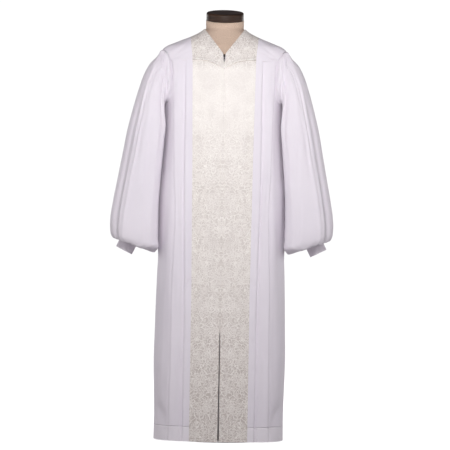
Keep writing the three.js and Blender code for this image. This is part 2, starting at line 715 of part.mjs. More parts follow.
function cuffRing(along, inset, angle) {
  const across = (CUFF.half - inset) * Math.cos(angle);
  const x = CUFF.endX - Math.sin(CUFF.lean) * along + Math.cos(CUFF.lean) * across;
  const z = CUFF.endZ + Math.cos(CUFF.lean) * along + Math.sin(CUFF.lean) * across;
  return new THREE.Vector3(x, -(CUFF.deep - inset) * Math.sin(angle), z);
}

// The sleeve's head stands out of the armhole and eases into its free rings
function sleeve() {
  const loop = armholeLoop();
  const angles = loop.map((_, k) => (2 * Math.PI * k) / loop.length);
  const signed = angles.map((angle) => (angle > Math.PI ? angle - 2 * Math.PI : angle));
  const seat = loop.map((corner) => onRobe(corner.angle, corner.z, -CLOTH));
  const stand = loop.map((corner) => onRobe(corner.angle, corner.z, HEAD_STAND));
  const saddle = [0, 0.6, 0.28, 0.1];
  const free = SLEEVE.map((ring, index) =>
    signed.map((angle, k) => {
      const wave = k % 2 ? 1 : -0.4;
      const pull = stand[k].clone().sub(sleevePoint(SLEEVE[0], 0, angle, 0));
      return sleevePoint(ring, index, angle, wave).addScaledVector(pull, saddle[index] || 0);
    }),
  );
  const underCuff = angles.map((angle) => cuffRing(CUFF.length + 5, -13, angle));
  const cuffTop = angles.map((angle) => cuffRing(CUFF.length + CLOTH, CUFF.wall / 2, angle));
  const rings = [seat, stand, ...free.slice(1), underCuff, cuffTop];
  return wallAbout(rings.map((ring) => ring.slice().reverse()).reverse(), CLOTH, true);
}

function cuff() {
  const count = 20;
  const angles = Array.from({ length: count }, (_, k) => (-2 * Math.PI * k) / count);
  const ring = (along, inset) => angles.map((angle) => cuffRing(along, inset, angle));
  const alongs = [0, CUFF.length / 2, CUFF.length];
  return wallGeometry(
    alongs.map((along) => ring(along, 0)),
    alongs.map((along) => ring(along, CUFF.wall)),
    true,
  );
}

// ---- The zip

function zipTape() {
  const long = panelRows(YOKE_SEAM).filter((z) => z >= SLIT_TOP && z < V_SEAM - 20);
  const rows = [...long, V_SEAM, 1340, SLIDER.top].map((z) =>
    steps(-ZIP.half, ZIP.half, 4).map((x) => ({ angle: frontAngle(x, z), z, lift: -CLOTH - ZIP.behind })),
  );
  return wallOnRobe(rows, ZIP.thick);
}

// ---- The dress form

function ellipseRing(half, front, back, z, power = 2) {
  const count = FORM_COLUMNS;
  return Array.from({ length: count }, (_, k) => {
    const angle = (2 * Math.PI * k) / count;
    const depth = Math.cos(angle) > 0 ? front : back;
    const x = half * signedPower(Math.sin(angle), 2 / power);
    return new THREE.Vector3(x, -depth * signedPower(Math.cos(angle), 2 / power), z);
  });
}

function formTorso() {
  const body = TORSO.map((t) => ellipseRing(t.half, t.front, t.back, t.z, 2.3));
  const shoulder = FORM_SHOULDERS.map((z) => {
    const angles = Array.from({ length: FORM_COLUMNS }, (_, k) => (2 * Math.PI * k) / FORM_COLUMNS);
    return angles.map((angle) => {
      const share = smooth(0.25, -0.5, Math.cos(angle));
      return onRobe(angle, z, -mix(FORM_CLEARANCE.front, FORM_CLEARANCE.back, share));
    });
  });
  const neck = NECK_RINGS.map(({ z, lean }) => {
    const ring = ellipseRing(FORM_NECK.half, FORM_NECK.deep, FORM_NECK.deep, z, 2.1);
    return ring.map((p) => p.setZ(z + p.y * Math.tan(FORM_NECK.tilt * lean)));
  });
  return loftGeometry([...body, ...shoulder, ...neck]);
}

// A body turned about Z, from a profile of radius and height that starts and ends on the axis
function turned(profile, segments) {
  const points = profile.map(([radius, z]) => new THREE.Vector2(radius, z));
  const geometry = new THREE.LatheGeometry(points, segments).rotateX(Math.PI / 2);
  geometry.deleteAttribute("normal");
  geometry.deleteAttribute("uv");
  return mergeVertices(geometry, 1e-4);
}

function formCap() {
  const { half, height } = CAP;
  const profile = [
    [0, 0],
    [half - 1.5, 0],
    [half, 1.5],
    [half, height - 6],
    [half - 1.2, height - 3],
    [half - 3.5, height - 1],
    [half - 7, height],
    [0, height],
  ];
  const cap = turned(profile, FORM_COLUMNS).scale(1, FORM_NECK.deep / FORM_NECK.half, 1);
  return cap.rotateX(FORM_NECK.tilt).translate(0, 0, FORM_NECK.top + SEAM_GAP);
}

function formPole() {
  const low = FLOOR + BASE.height + SEAM_GAP;
  const height = TORSO[0].z - SEAM_GAP - low;
  const profile = [
    [0, 0],
    [POLE_RADIUS, 0],
    [POLE_RADIUS, height],
    [0, height],
  ];
  return turned(profile, 24).translate(0, 0, low);
}

function formBase() {
  const { radius, height } = BASE;
  const profile = [
    [0, 0],
    [radius, 0],
    [radius, height - 2],
    [radius - 2, height],
    [0, height],
  ];
  return turned(profile, 40).translate(0, 0, FLOOR);
}

// ---- The zip's slider and pull, made about the pull's axis with the cloth behind them

function solid(geometry) {
  const plain = geometry.index ? geometry.toNonIndexed() : geometry;
  const positions = new THREE.BufferGeometry().setAttribute("position", plain.getAttribute("position"));
  const merged = mergeVertices(positions, 1e-4);
  const vertProperties = merged.getAttribute("position").array;
  const triVerts = new Uint32Array(merged.index.array);
  return new wasm.Manifold(new wasm.Mesh({ numProp: 3, vertProperties, triVerts }));
}

function geometryFrom(manifold) {
  const mesh = manifold.getMesh();
  const geometry = new THREE.BufferGeometry();
  geometry.setAttribute("position", new THREE.BufferAttribute(mesh.vertProperties, 3));
  geometry.setIndex(new THREE.BufferAttribute(mesh.triVerts, 1));
  return geometry;
}

// An outline in X and Z, made as thick as the way from one depth to another along Y
function plate(shape, fromY, toY) {
  const options = { depth: toY - fromY, bevelEnabled: false, curveSegments: 5 };
  return new THREE.ExtrudeGeometry(shape, options).rotateX(Math.PI / 2).translate(0, toY, 0);
}

function box(width, depth, height, x, y, z) {
  return new THREE.BoxGeometry(width, depth, height).translate(x, y, z);
}

// Half a ring about the pull's axis, open towards the slider, with straight feet
function bridgeArch() {
  const shape = new THREE.Shape();
  const foot = BRIDGE.axis + 0.5;
  shape.moveTo(-BRIDGE.outer, -foot);
  shape.lineTo(-BRIDGE.outer, 0);
  shape.absarc(0, 0, BRIDGE.outer, Math.PI, 0, true);
  shape.lineTo(BRIDGE.outer, -foot);
  shape.lineTo(BRIDGE.inner, -foot);
  shape.lineTo(BRIDGE.inner, 0);
  shape.absarc(0, 0, BRIDGE.inner, 0, Math.PI, false);
  shape.lineTo(-BRIDGE.inner, -foot);
  const options = { depth: BRIDGE.width, bevelEnabled: false, curveSegments: 8 };
  const arch = new THREE.ExtrudeGeometry(shape, options).translate(0, 0, -BRIDGE.width / 2);
  return arch.rotateY(Math.PI / 2).rotateX(Math.PI / 2);
}

function zipSlider() {
  const face = BRIDGE.axis;
  const half = SLIDER.width / 2;
  const shape = new THREE.Shape();
  shape.moveTo(-half * 0.6, -SLIDER.length / 2);
  shape.lineTo(half * 0.6, -SLIDER.length / 2);
  shape.lineTo(half, -SLIDER.length / 6);
  shape.lineTo(half, SLIDER.length / 3);
  shape.absarc(0, SLIDER.length / 3 - 0.6, half * 0.999, 0.17, Math.PI - 0.17, false);
  shape.lineTo(-half, SLIDER.length / 3);
  shape.lineTo(-half, -SLIDER.length / 6);
  return geometryFrom(solid(plate(shape, face, face + SLIDER.thick)).add(solid(bridgeArch())));
}

function zipPull() {
  const { length, width, thick, bar, window, rim, hole } = PULL;
  const cut = 3 * thick;
  const reach = BRIDGE.outer + 0.9;
  const low = bar - length;
  const outline = solid(box(width, thick, length, 0, 0, low + length / 2));
  const cuts = [
    box(window, cut, reach - bar, 0, 0, -(reach + bar) / 2),
    box(window, cut, 2 * bar, 0, 0, 0),
    box(width - 2 * rim, cut, hole, 0, 0, low + 2 + hole / 2),
  ];
  const opened = cuts.reduce((rest, part) => rest.subtract(solid(part)), outline);
  const pin = new THREE.CylinderGeometry(bar, bar, width, 12).rotateZ(Math.PI / 2);
  return geometryFrom(opened.add(solid(pin)));
}

// The slider's place on the chest: the pull's axis, in front of the parted brocade edges
function zipHead() {
  const head = new THREE.Group();
  const z = SLIDER.top - SLIDER.length / 2;
  const rise = girthPoint(0, z + 4).sub(girthPoint(0, z - 4));
  head.position.copy(onRobe(0, z, SLIDER.proud + BRIDGE.axis));
  head.rotation.x = -Math.atan2(rise.y, rise.z);
  const parts = [
    ["zip_slider", zipSlider()],
    ["zip_pull", zipPull()],
  ];
  parts.forEach(([name, geometry]) => {
    const mesh = new THREE.Mesh(geometry, DARK_METAL);
    mesh.name = name;
    head.add(mesh);
  });
  robe.add(head);
}

add("form_torso", formTorso(), LINEN);
add("form_cap", formCap(), DARK_WOOD);
add("form_pole", formPole(), PAINTED_STEEL);
add("form_base", formBase(), PAINTED_STEEL);
addPair("brocade_yoke", brocadeYoke(), BROCADE);
addPair("brocade_panel", brocadePanel(), BROCADE);
addPair("front_yoke", frontYoke(), WHITE_CLOTH);
addPair("front_panel", frontPanel(), WHITE_CLOTH);
add("back_yoke", backYoke(), WHITE_CLOTH);
add("back_panel", backPanel(), WHITE_CLOTH);
addPair("sleeve", sleeve(), WHITE_CLOTH);
addPair("cuff", cuff(), WHITE_CLOTH);
add("zip_tape", zipTape(), WHITE_CLOTH);
zipHead();
robe.position.z = -FLOOR;

export default robe;
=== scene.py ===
import math

import bpy
import numpy as np
from mathutils import Matrix, Vector


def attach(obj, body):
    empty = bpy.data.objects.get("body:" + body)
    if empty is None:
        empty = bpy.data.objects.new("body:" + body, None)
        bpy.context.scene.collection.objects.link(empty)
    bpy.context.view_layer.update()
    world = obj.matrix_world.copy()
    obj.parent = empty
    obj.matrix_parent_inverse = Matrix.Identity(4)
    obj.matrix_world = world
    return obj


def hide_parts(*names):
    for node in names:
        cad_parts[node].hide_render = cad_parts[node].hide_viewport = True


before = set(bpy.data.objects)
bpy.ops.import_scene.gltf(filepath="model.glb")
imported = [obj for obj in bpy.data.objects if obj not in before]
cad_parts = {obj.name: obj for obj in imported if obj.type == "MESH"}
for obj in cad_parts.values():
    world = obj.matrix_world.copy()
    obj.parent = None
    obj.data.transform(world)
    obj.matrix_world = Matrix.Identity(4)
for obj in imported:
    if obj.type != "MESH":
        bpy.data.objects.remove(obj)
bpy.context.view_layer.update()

# Pulpit robe on a limbless dress form. The tables are in millimetres, like the part's source;
# mm() turns them into metres. +Z is up and the robe faces -Y.

BODY = "robe_and_form"

# ---- Sizes shared with the solids

CLOTH, SHELL, SEAM_GAP = 1.5, 1.2, 0.3  # thickness in the solids and here, and the space at a seam
ROUNDNESS = 2.6
PLEAT_PITCH, PLEAT_UNDERLAY = 2.4, 15
ROLL = 1.1
SLIT_TOP, SLIT_GAPE = 404, (1.2, 2.5)
HEM = 16
FLOOR = 12  # the floor in the heights of this file; the finished part stands at zero
HEM_LINE = 66
YOKE_SEAM, BACK_YOKE_SEAM, V_SEAM, V_BOTTOM = 1338, 1300, 1311, 1362
SHOULDER_TIP, UNDERARM = 1374, 1190
ARMHOLE_MIDDLE = (SHOULDER_TIP + UNDERARM) / 2
ARMHOLE_WIDTH, ARMHOLE_DEPTH = 0.61, 130  # an angle, and the robe's depth there
NECK_X, BACK_NECK_DIP = 72, 5
BROCADE_SHOULDER = 119
SLEEVE_HUG = 14.5
HEAD_STAND = 2.2
CUFF_HALF, CUFF_DEEP, CUFF_LENGTH = 31.5, 24, 62
CUFF_END_X, CUFF_END_Z, CUFF_LEAN = 341, 672, 0.464
SLIDER_HALF, SLIDER_FROM, SLIDER_FULL, SLIDER_TOP = 3.7, 1332, 1346, 1358
STITCH_PITCH, STITCH_LENGTH, STITCH_RADIUS = 3.4, 2.5, 0.3
ROD_SIDES, SLEEVE_COLUMNS, CUFF_COLUMNS, TORSO_COLUMNS, TURNED_COLUMNS = 6, 216, 72, 120, 96
HEM_TURN = 0.06  # metres of cloth turned up inside the hem
YOKE_OVERLAP = 1.1  # the white yoke's lowest row reaches down over its seam
DENSE_FROM = 1180  # above this height the panels' rows lie closer together
SHARP_CLOTH, SHARP_FORM = math.radians(62), math.radians(40)

GIRTH = np.array([  # z, half, front, back
    (16, 227, 157, 166), (100, 226, 155, 164), (200, 228, 152, 161), (300, 230, 149, 157),
    (400, 228, 145, 152), (500, 226, 142, 147), (600, 223, 138, 143), (650, 221, 136, 141),
    (700, 222, 134, 139), (850, 222, 130, 134), (971, 213, 127, 130), (1090, 205, 124, 127),
    (1190, 205, 122, 125), (1260, 211, 117, 121), (1300, 215, 111, 116), (1338, 218, 101, 108),
    (1362, 219.5, 93, 101), (1375, 217, 88, 97), (1388, 203, 83, 91), (1400, 177, 77, 85),
    (1413, 144, 71, 79), (1425, 114, 66, 73), (1440, 86, 60, 66), (1450, 73.5, 57, 62), (1460, 66, 54, 59),
])
FRONT_LINES = np.array([  # z, brocade, pleat1, pleat2
    (16, 101, 125, 177), (300, 101, 125, 174), (533, 101, 126, 172.5), (620, 102, 127.5, 170),
    (800, 103.5, 131, 165), (953, 105, 133, 171), (1200, 108.5, 133.5, 177), (1338, 110.6, 134, 181),
    (1423, 119, 136, 183),
])
YOKE_CURVE = np.array([  # x, z
    (0, 1311), (25, 1322), (38, 1329), (58, 1335), (82, 1338), (120, 1338),
])
SLEEVE = np.array([  # outX, outZ, inX, inZ, deep
    (219, 1374, 205, 1190, 80), (237, 1351, 209, 1180, 84), (260, 1326, 210, 1168, 89),
    (280, 1288, 210, 1150, 92), (298, 1235, 210, 1125, 95), (315, 1175, 210.5, 1092, 97),
    (334, 1098, 213, 1052, 98), (350, 1012, 217, 992, 99), (366, 925, 223, 915, 100),
    (380, 850, 227, 832, 101), (389, 790, 227, 765, 102), (390, 753, 226.5, 712, 101),
    (386.5, 728, 227, 680, 96), (378, 715, 234, 667, 86), (364, 716, 252, 671, 66),
])
TORSO = np.array([  # z, half, front, back
    (760, 150, 92, 92), (880, 165, 101, 101), (1000, 148, 96, 95), (1120, 152, 99, 99),
    (1220, 166, 103, 106), (1300, 182, 98, 104), (1372, 193, 79, 87),
])

# ---- Creases

# On the white fronts: from (x0, z0) to (x1, z1), depth (a negative one is a ridge), half width
FRONT_CREASES = [
    (128, 470, 160, 262, 5, 15), (222, 150, 190, 60, 6, 15), (199, 900, 205, 560, 4, 12),
    (140, 1325, 158, 1130, 1.6, 7), (168, 1320, 172, 1180, 1.3, 6), (150, 1290, 143, 1010, 1.2, 8),
    (158, 980, 150, 610, 2.2, 9), (140, 760, 146, 420, 1.5, 7), (160, 560, 151, 180, 1.8, 9),
    (190, 520, 196, 190, 2.6, 11), (212, 640, 208, 330, 2, 9), (186, 1130, 191, 880, 2, 9),
    (106, 772, 124, 740, 2.6, 4), (107, 714, 124, 688, 2, 4), (105, 580, 125, 544, 3, 4),
    (108, 560, 122, 536, -1.4, 3), (106, 374, 124, 348, 2.4, 4), (109, 350, 123, 330, -1.6, 4),
    (107, 276, 124, 250, 2.2, 4), (109, 176, 123, 150, 1.8, 4), (133, 300, 141, 90, 1.6, 7),
    (150, 240, 156, 70, 1.2, 6), (168, 300, 164, 80, -1.5, 8),
]
# On the white front yokes
YOKE_CREASES = [
    (128, 1398, 178, 1352, 2, 7), (136, 1412, 196, 1372, 1.8, 6), (146, 1352, 186, 1345, 1.4, 5),
    (160, 1394, 200, 1384, -1.2, 6), (124, 1372, 168, 1350, 1.3, 5), (150, 1404, 190, 1392, 1.2, 5),
]
# On the brocade
BROCADE_CREASES = [
    (16, 1290, 60, 1240, 0.7, 9), (10, 1200, 14, 900, 0.5, 6), (96, 1180, 88, 840, 0.6, 9),
    (60, 980, 52, 640, 0.8, 14), (20, 700, 26, 420, 0.6, 9), (80, 560, 74, 240, 0.9, 12),
    (30, 380, 44, 120, 1, 12), (94, 300, 90, 90, 0.8, 8), (12, 330, 16, 120, -0.9, 6),
]
BROCADE_YOKE_CREASES = [
    (20, 1366, 70, 1352, 0.6, 6), (60, 1412, 100, 1372, 0.7, 8), (84, 1428, 110, 1400, -0.5, 6),
]
# Soft pleats of the back: share of the way round to the side, half width, depth
BACK_FOLDS = [
    (0, 0.05, 13), (0.14, 0.045, 15), (0.27, 0.05, 12), (0.41, 0.045, 15), (0.56, 0.05, 11),
    (0.72, 0.05, 8),
]
# On the back, as on the fronts; x is signed
BACK_CREASES = [
    (-150, 1290, -60, 1200, 1.6, 10), (140, 1280, 70, 1190, 1.4, 9), (-40, 1180, -90, 900, 1.8, 12),
    (60, 900, 30, 600, 1.6, 11), (-120, 700, -150, 380, 2.2, 12), (130, 620, 165, 260, 2.4, 13),
    (10, 420, -26, 120, 2, 11), (190, 1100, 200, 800, 2, 10), (-190, 1000, -202, 640, 2.2, 10),
]
BACK_YOKE_CREASES = [
    (-140, 1330, -60, 1380, 1, 9), (120, 1318, 60, 1372, 0.9, 9), (-30, 1400, 34, 1396, 0.8, 7),
]
# Long troughs of the sleeve: angle and ring of both ends, depth, half width
SLEEVE_TROUGHS = [
    (1.18, 0.8, 1.28, 6, 6, 0.17), (0.86, 5.5, 0.72, 12.5, 8, 0.18), (1.95, 1.5, 2.1, 5.5, 7, 0.16),
    (-0.95, 0.8, -0.8, 7, 6, 0.18), (-1.7, 5, -1.55, 12.5, 8, 0.2),
]
# Fine folds of the sleeve, in the same way; these lie on the finer shell only
SLEEVE_CREASES = [
    (1.12, 0.5, 2.25, 1.25, 3, 0.1), (2.2, 1.3, 2.36, 4.5, 2.4, 0.08), (1.20, 1, 1.31, 6.2, 2.6, 0.06),
    (0.86, 5.4, 0.71, 12.6, 0.6, 0.09), (1.52, 0.9, 1.6, 6.5, 3.2, 0.06), (0.98, 1.2, 1.04, 4.6, 1.3, 0.07),
    (0.7, 1, 0.74, 3.4, 0.9, 0.07), (0.4, 1.4, 0.46, 4.6, 0.6, 0.1), (1.36, 5, 1.16, 11.5, 2.8, 0.08),
    (1.6, 6.8, 1.72, 12.6, 3, 0.09), (1.02, 8.6, 0.98, 12.9, 2.4, 0.08),
    (1.86, 1.2, 1.98, 6.2, 3.2, 0.07), (2.02, 8.5, 1.92, 12.8, 2.4, 0.09),
    (0.42, 8.5, 0.5, 12.5, 0.7, 0.13), (1.40, 1.2, 1.45, 3.6, 1.6, 0.045),
    (1.72, 0.9, 1.78, 3.2, 1.6, 0.05), (-0.5, 1, -0.55, 5.2, 1.4, 0.09),
    (-1.3, 1, -1.42, 8, 2.6, 0.08), (-1.9, 1.2, -2.1, 5, 2.4, 0.09),
    (-1.05, 6.5, -0.92, 12.4, 2.8, 0.1), (-0.35, 8, -0.4, 12.6, 1.4, 0.12),
    (-2, 8, -1.95, 12.6, 2.6, 0.1),
]
# Gathers where the sleeve joins the armhole: angle, ring where each runs out, height
HEAD_GATHERS = [
    (-2, 1.5, 0.9), (-1.86, 1.9, 1.2), (-1.7, 1.6, 1.1), (-1.57, 2.4, 1.6), (-1.4, 1.8, 1.3),
    (-1.28, 2.8, 1.8), (-1.12, 1.7, 1.4), (-1, 2.2, 1.6), (-0.84, 3, 1.9), (-0.71, 1.8, 1.3),
    (-0.58, 2.4, 1.4), (-0.42, 2, 0.9), (-0.27, 2.6, 0.7), (-0.12, 2, 0.4), (0.05, 2.4, 0.4),
    (0.2, 1.9, 0.6), (0.36, 2.7, 0.9), (0.5, 1.9, 1.2), (0.63, 2.3, 1.6), (0.77, 3.1, 1.9), (0.9, 1.9, 1.5),
    (1.02, 2.5, 1.8), (1.17, 2, 1.5), (1.29, 3, 2), (1.43, 1.8, 1.4), (1.56, 2.3, 1.5),
    (1.72, 1.6, 1.1), (1.85, 2, 1.1), (2, 1.4, 0.8),
]
# Gathers where the sleeve joins the cuff: angle, ring where each starts, height
CUFF_GATHERS = [
    (-2.95, 12.1, 2.4), (-2.66, 11.4, 3), (-2.41, 12.3, 2), (-2.15, 11.6, 3.2), (-1.88, 12.2, 2.4),
    (-1.62, 11.2, 3.4), (-1.37, 12.3, 2.2), (-1.12, 11.7, 3), (-0.85, 12, 2.6), (-0.6, 11.5, 3.1),
    (-0.36, 12.2, 2.3), (-0.1, 11.6, 3), (0.16, 12.1, 2.4), (0.41, 11.4, 3.2), (0.68, 12.2, 2.2),
    (0.92, 11.7, 2.9), (1.19, 12.1, 2.6), (1.45, 11.3, 3.3), (1.7, 12.2, 2.2), (1.97, 11.6, 3),
    (2.22, 12, 2.5), (2.48, 11.5, 3.1), (2.75, 12.2, 2.3), (3.02, 11.8, 2.6),
]

# ---- Camera, at the photograph's angle

CAMERA_DISTANCE = 12.0
FRAME_WIDTH = 1.575  # what the photograph's 450 pixels show at the robe
CAMERA_ROLL = 0.0168
AIM = Vector((0.0118, 0.0, 0.754))
camera_data = bpy.data.cameras.new("camera")
camera_data.sensor_width = 36
camera_data.lens = 36 * CAMERA_DISTANCE / FRAME_WIDTH
camera_data.clip_end = 100
camera = bpy.data.objects.new("camera", camera_data)
bpy.context.collection.objects.link(camera)
upright = Matrix.Rotation(math.pi / 2, 4, "X") @ Matrix.Rotation(CAMERA_ROLL, 4, "Z")
camera.matrix_world = Matrix.Translation(AIM - Vector((0, CAMERA_DISTANCE, 0))) @ upright
bpy.context.scene.camera = camera

# ---- Small helpers


def mix(a, b, t):
    return a + (b - a) * t


def smooth(low, high, value):
    t = np.clip((value - low) / (high - low), 0, 1)
    return t * t * (3 - 2 * t)


def signed_power(value, power):
    return np.sign(value) * np.abs(value) ** power


def bump(distance):
    return np.exp(-distance * distance)


def circle(count):
    return 2 * np.pi * np.arange(count) / count


def unit(vectors):
    return vectors / np.maximum(np.linalg.norm(vectors, axis=-1, keepdims=True), 1e-9)


def cubic(a, b, t, start, end):
    """From a to b with a slope at each end, given over the whole span."""
    return mix(a, b, t * t * (3 - 2 * t)) + start * t * (1 - t) ** 2 - end * t * t * (1 - t)


def curve(xs, ys):
    """A curve through the points that never overshoots."""
    xs, ys = np.asarray(xs, float), np.asarray(ys, float)
    slope = np.diff(ys) / np.diff(xs)
    before, after = slope[:-1], slope[1:]
    total = np.where(before + after == 0, 1, before + after)
    inner = np.where(before * after <= 0, 0, 2 * before * after / total)
    tangent = np.concatenate([slope[:1], inner, slope[-1:]])

    def at(value):
        value = np.clip(value, xs[0], xs[-1])
        i = np.clip(np.searchsorted(xs, value, side="left") - 1, 0, len(xs) - 2)
        span = xs[i + 1] - xs[i]
        return cubic(ys[i], ys[i + 1], (value - xs[i]) / span, span * tangent[i], span * tangent[i + 1])

    return at


def spread(stops, counts):
    """Places from stop to stop, even in each run; a run's count takes in both of its ends."""
    runs = [np.linspace(a, b, count)[:-1] for a, b, count in zip(stops, stops[1:], counts)]
    return np.append(np.concatenate(runs), stops[-1])


def distances(points):
    """How far along their line the points lie, or along each column of a grid."""
    return np.linalg.norm(np.diff(points, axis=0, prepend=points[:1]), axis=-1).cumsum(0)


girth_half, girth_front, girth_back = (curve(GIRTH[:, 0], GIRTH[:, k]) for k in (1, 2, 3))
brocade_line, pleat1_line, pleat2_line = (curve(FRONT_LINES[:, 0], FRONT_LINES[:, k]) for k in (1, 2, 3))
yoke_curve = curve(*YOKE_CURVE.T)


def girth_point(angle, z):
    angle, z = np.broadcast_arrays(np.asarray(angle, float), np.asarray(z, float))
    cos, power = np.cos(angle), 2 / ROUNDNESS
    depth = np.where(cos > 0, girth_front(z), girth_back(z))
    x = girth_half(z) * signed_power(np.sin(angle), power)
    return np.stack([x, -depth * signed_power(cos, power), z], -1)


def girth_normal(angle, z):
    across = girth_point(angle + 0.02, z) - girth_point(angle - 0.02, z)
    up = girth_point(angle, z + 2) - girth_point(angle, np.maximum(GIRTH[0, 0], z - 2))
    return unit(np.cross(across, up))


def on_robe(angle, z, lift):
    angle, z, lift = np.broadcast_arrays(angle, z, lift)
    return girth_point(angle, z) + girth_normal(angle, z) * lift[..., None]


def front_angle(x, z):
    ratio = np.clip(x / girth_half(z), -1, 1)
    return np.arcsin(signed_power(ratio, ROUNDNESS / 2))


ridge_zs = np.linspace(SHOULDER_TIP - 2, 1460, 4001)
ridge_xs = girth_half(ridge_zs)


def ridge_height(x):
    return np.interp(x, ridge_xs[::-1], ridge_zs[::-1])


def half_seam(z):
    return (SEAM_GAP / 2 / girth_front(z)) ** (ROUNDNESS / 2)


def armhole_width(z):
    reach = (z - ARMHOLE_MIDDLE) / (SHOULDER_TIP - ARMHOLE_MIDDLE)
    power = np.where(reach > 0, 4, 2.5)
    return ARMHOLE_WIDTH * (1 - np.clip(np.abs(reach), 0, 1) ** power) ** (1 / power)


def side_edge(z):
    return np.pi / 2 - np.maximum(armhole_width(z), half_seam(z))


def armhole_edge(low, count):
    """Gives x and z on the armhole's edge above a height, by share of its length."""
    z = mix(low, SHOULDER_TIP, 1 - (1 - np.linspace(0, 1, count)) ** 4)
    points = girth_point(side_edge(z), z)
    reached = distances(points)
    return lambda t: [np.interp(t, reached / reached[-1], points[:, k]) for k in (0, 2)]


def creases(table, x, z):
    """How deep the creases of a table are at places of the front or back view."""
    total = np.zeros(np.broadcast(x, z).shape)
    for x0, z0, x1, z1, deep, wide in table:
        length = math.hypot(x1 - x0, z1 - z0)
        dx, dz = (x1 - x0) / length, (z1 - z0) / length
        along = (x - x0) * dx + (z - z0) * dz
        off = (x - x0) * dz - (z - z0) * dx + 0.25 * wide * np.sin(along / length * 5.2 + x0)
        beyond = np.maximum(0, np.maximum(-along, along - length)) / (1.6 * wide)
        taper = 0.35 + 0.65 * np.sin(np.pi * np.clip(along / length, 0, 1))
        total = total + deep * bump(off / wide) * bump(beyond) * taper
    return total


# ---- Meshes


def mm(points):
    return np.asarray(points, float) / 1000


def mesh_object(name, points, quads, uvs=None, tris=()):
    mesh = bpy.data.meshes.new(name)
    quads = np.asarray(quads, np.int32).reshape(-1, 4)
    tris = np.asarray(tris, np.int32).reshape(-1, 3)
    loops = np.concatenate([quads.ravel(), tris.ravel()])
    starts = np.concatenate([np.arange(len(quads)) * 4, len(quads) * 4 + np.arange(len(tris)) * 3])
    mesh.vertices.add(len(points))
    mesh.vertices.foreach_set("co", mm(points - np.array([0, 0, FLOOR])).ravel())
    mesh.loops.add(len(loops))
    mesh.loops.foreach_set("vertex_index", loops)
    mesh.polygons.add(len(starts))
    mesh.polygons.foreach_set("loop_start", starts.astype(np.int32))
    mesh.update(calc_edges=True)
    mesh.validate()
    mesh.polygons.foreach_set("use_smooth", np.ones(len(mesh.polygons), bool))
    if uvs is not None:
        layer = mesh.uv_layers.new(name="cloth")
        corner = np.empty(len(mesh.loops), np.int32)
        mesh.loops.foreach_get("vertex_index", corner)
        layer.data.foreach_set("uv", mm(uvs)[corner].ravel())
    obj = bpy.data.objects.new(name, mesh)
    bpy.context.collection.objects.link(obj)
    return obj


def grid_normals(grid, around=False):
    wide = np.pad(grid, ((0, 0), (1, 1), (0, 0)), "wrap" if around else "edge")
    high = np.pad(grid, ((1, 1), (0, 0), (0, 0)), "edge")
    return unit(np.cross(wide[:, 2:] - wide[:, :-2], high[2:] - high[:-2]))


def grid_quads(grid, around):
    """The numbers of a grid's points, and the four corners of each of its faces."""
    index = np.arange(grid[..., 0].size).reshape(grid.shape[:2])
    if around:
        index = np.concatenate([index, index[:, :1]], 1)
    faces = index[:-1, :-1], index[:-1, 1:], index[1:, 1:], index[1:, :-1]
    return index, np.stack(faces, -1).reshape(-1, 4)


def grid_size(grid, around=False):
    """The longest row, the longest column and the area of a grid, in metres."""
    closed = np.concatenate([grid, grid[:, :1]], 1) if around else grid
    a, b = closed[1:, 1:] - closed[:-1, :-1], closed[1:, :-1] - closed[:-1, 1:]
    area = np.linalg.norm(np.cross(a, b), axis=-1).sum() / 2
    return distances(closed.swapaxes(0, 1))[-1].max() / 1000, distances(closed)[-1].max() / 1000, area / 1e6


def arc_uv(grid):
    """Flat coordinates of a grid: its distances along each row and each column."""
    return np.stack([distances(grid.swapaxes(0, 1)).T, distances(grid)], -1)


def shell(name, outer, inner, around=False, uv=None):
    """A closed thin wall between two grids."""
    count = outer[..., 0].size
    index, front = grid_quads(outer, around)
    quads = [front, front[:, [0, 3, 2, 1]] + count]
    rims = [index[0], index[-1, ::-1]]
    if not around:
        rims += [index[::-1, 0], index[:, -1]]
    for rim in rims:
        quads.append(np.stack([rim[:-1], rim[:-1] + count, rim[1:] + count, rim[1:]], -1))
    points = np.concatenate([outer.reshape(-1, 3), inner.reshape(-1, 3)])
    flat = (arc_uv(outer) if uv is None else uv).reshape(-1, 2)
    obj = mesh_object(name, points, np.concatenate(quads), np.concatenate([flat, flat]))
    obj.data.set_sharp_from_angle(angle=SHARP_CLOTH)
    return obj


def even_columns(path, shares, count):
    """The path's own t for each column, at even distances along it."""
    t = 1 - (1 - np.linspace(0, 1, 160)) ** 2
    result = []
    for u in shares:
        reached = distances(girth_point(*path(u, t)))
        result.append(np.interp(np.linspace(0, reached[-1], count), reached, t))
    result = np.array(result).T
    result[-1] = 1
    return result


def path_grid(path, shares, t):
    """Angle, height and distance from the centre on the columns of a path."""
    angle, z = path(np.broadcast_to(shares, t.shape), t)
    return angle, z, girth_point(angle, z)[..., 0]


def paint(obj, material):
    obj.data.materials.clear()
    obj.data.materials.append(material)


def place_piece(obj, slot, node=None, material=None):
    """Paints a piece of the robe or the form, hides the CAD node that it stands for, and hangs it on the body
    that it rides on.
    """
    paint(obj, material or MATERIALS[slot])
    if node:
        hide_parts(node)
    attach(obj, BODY)


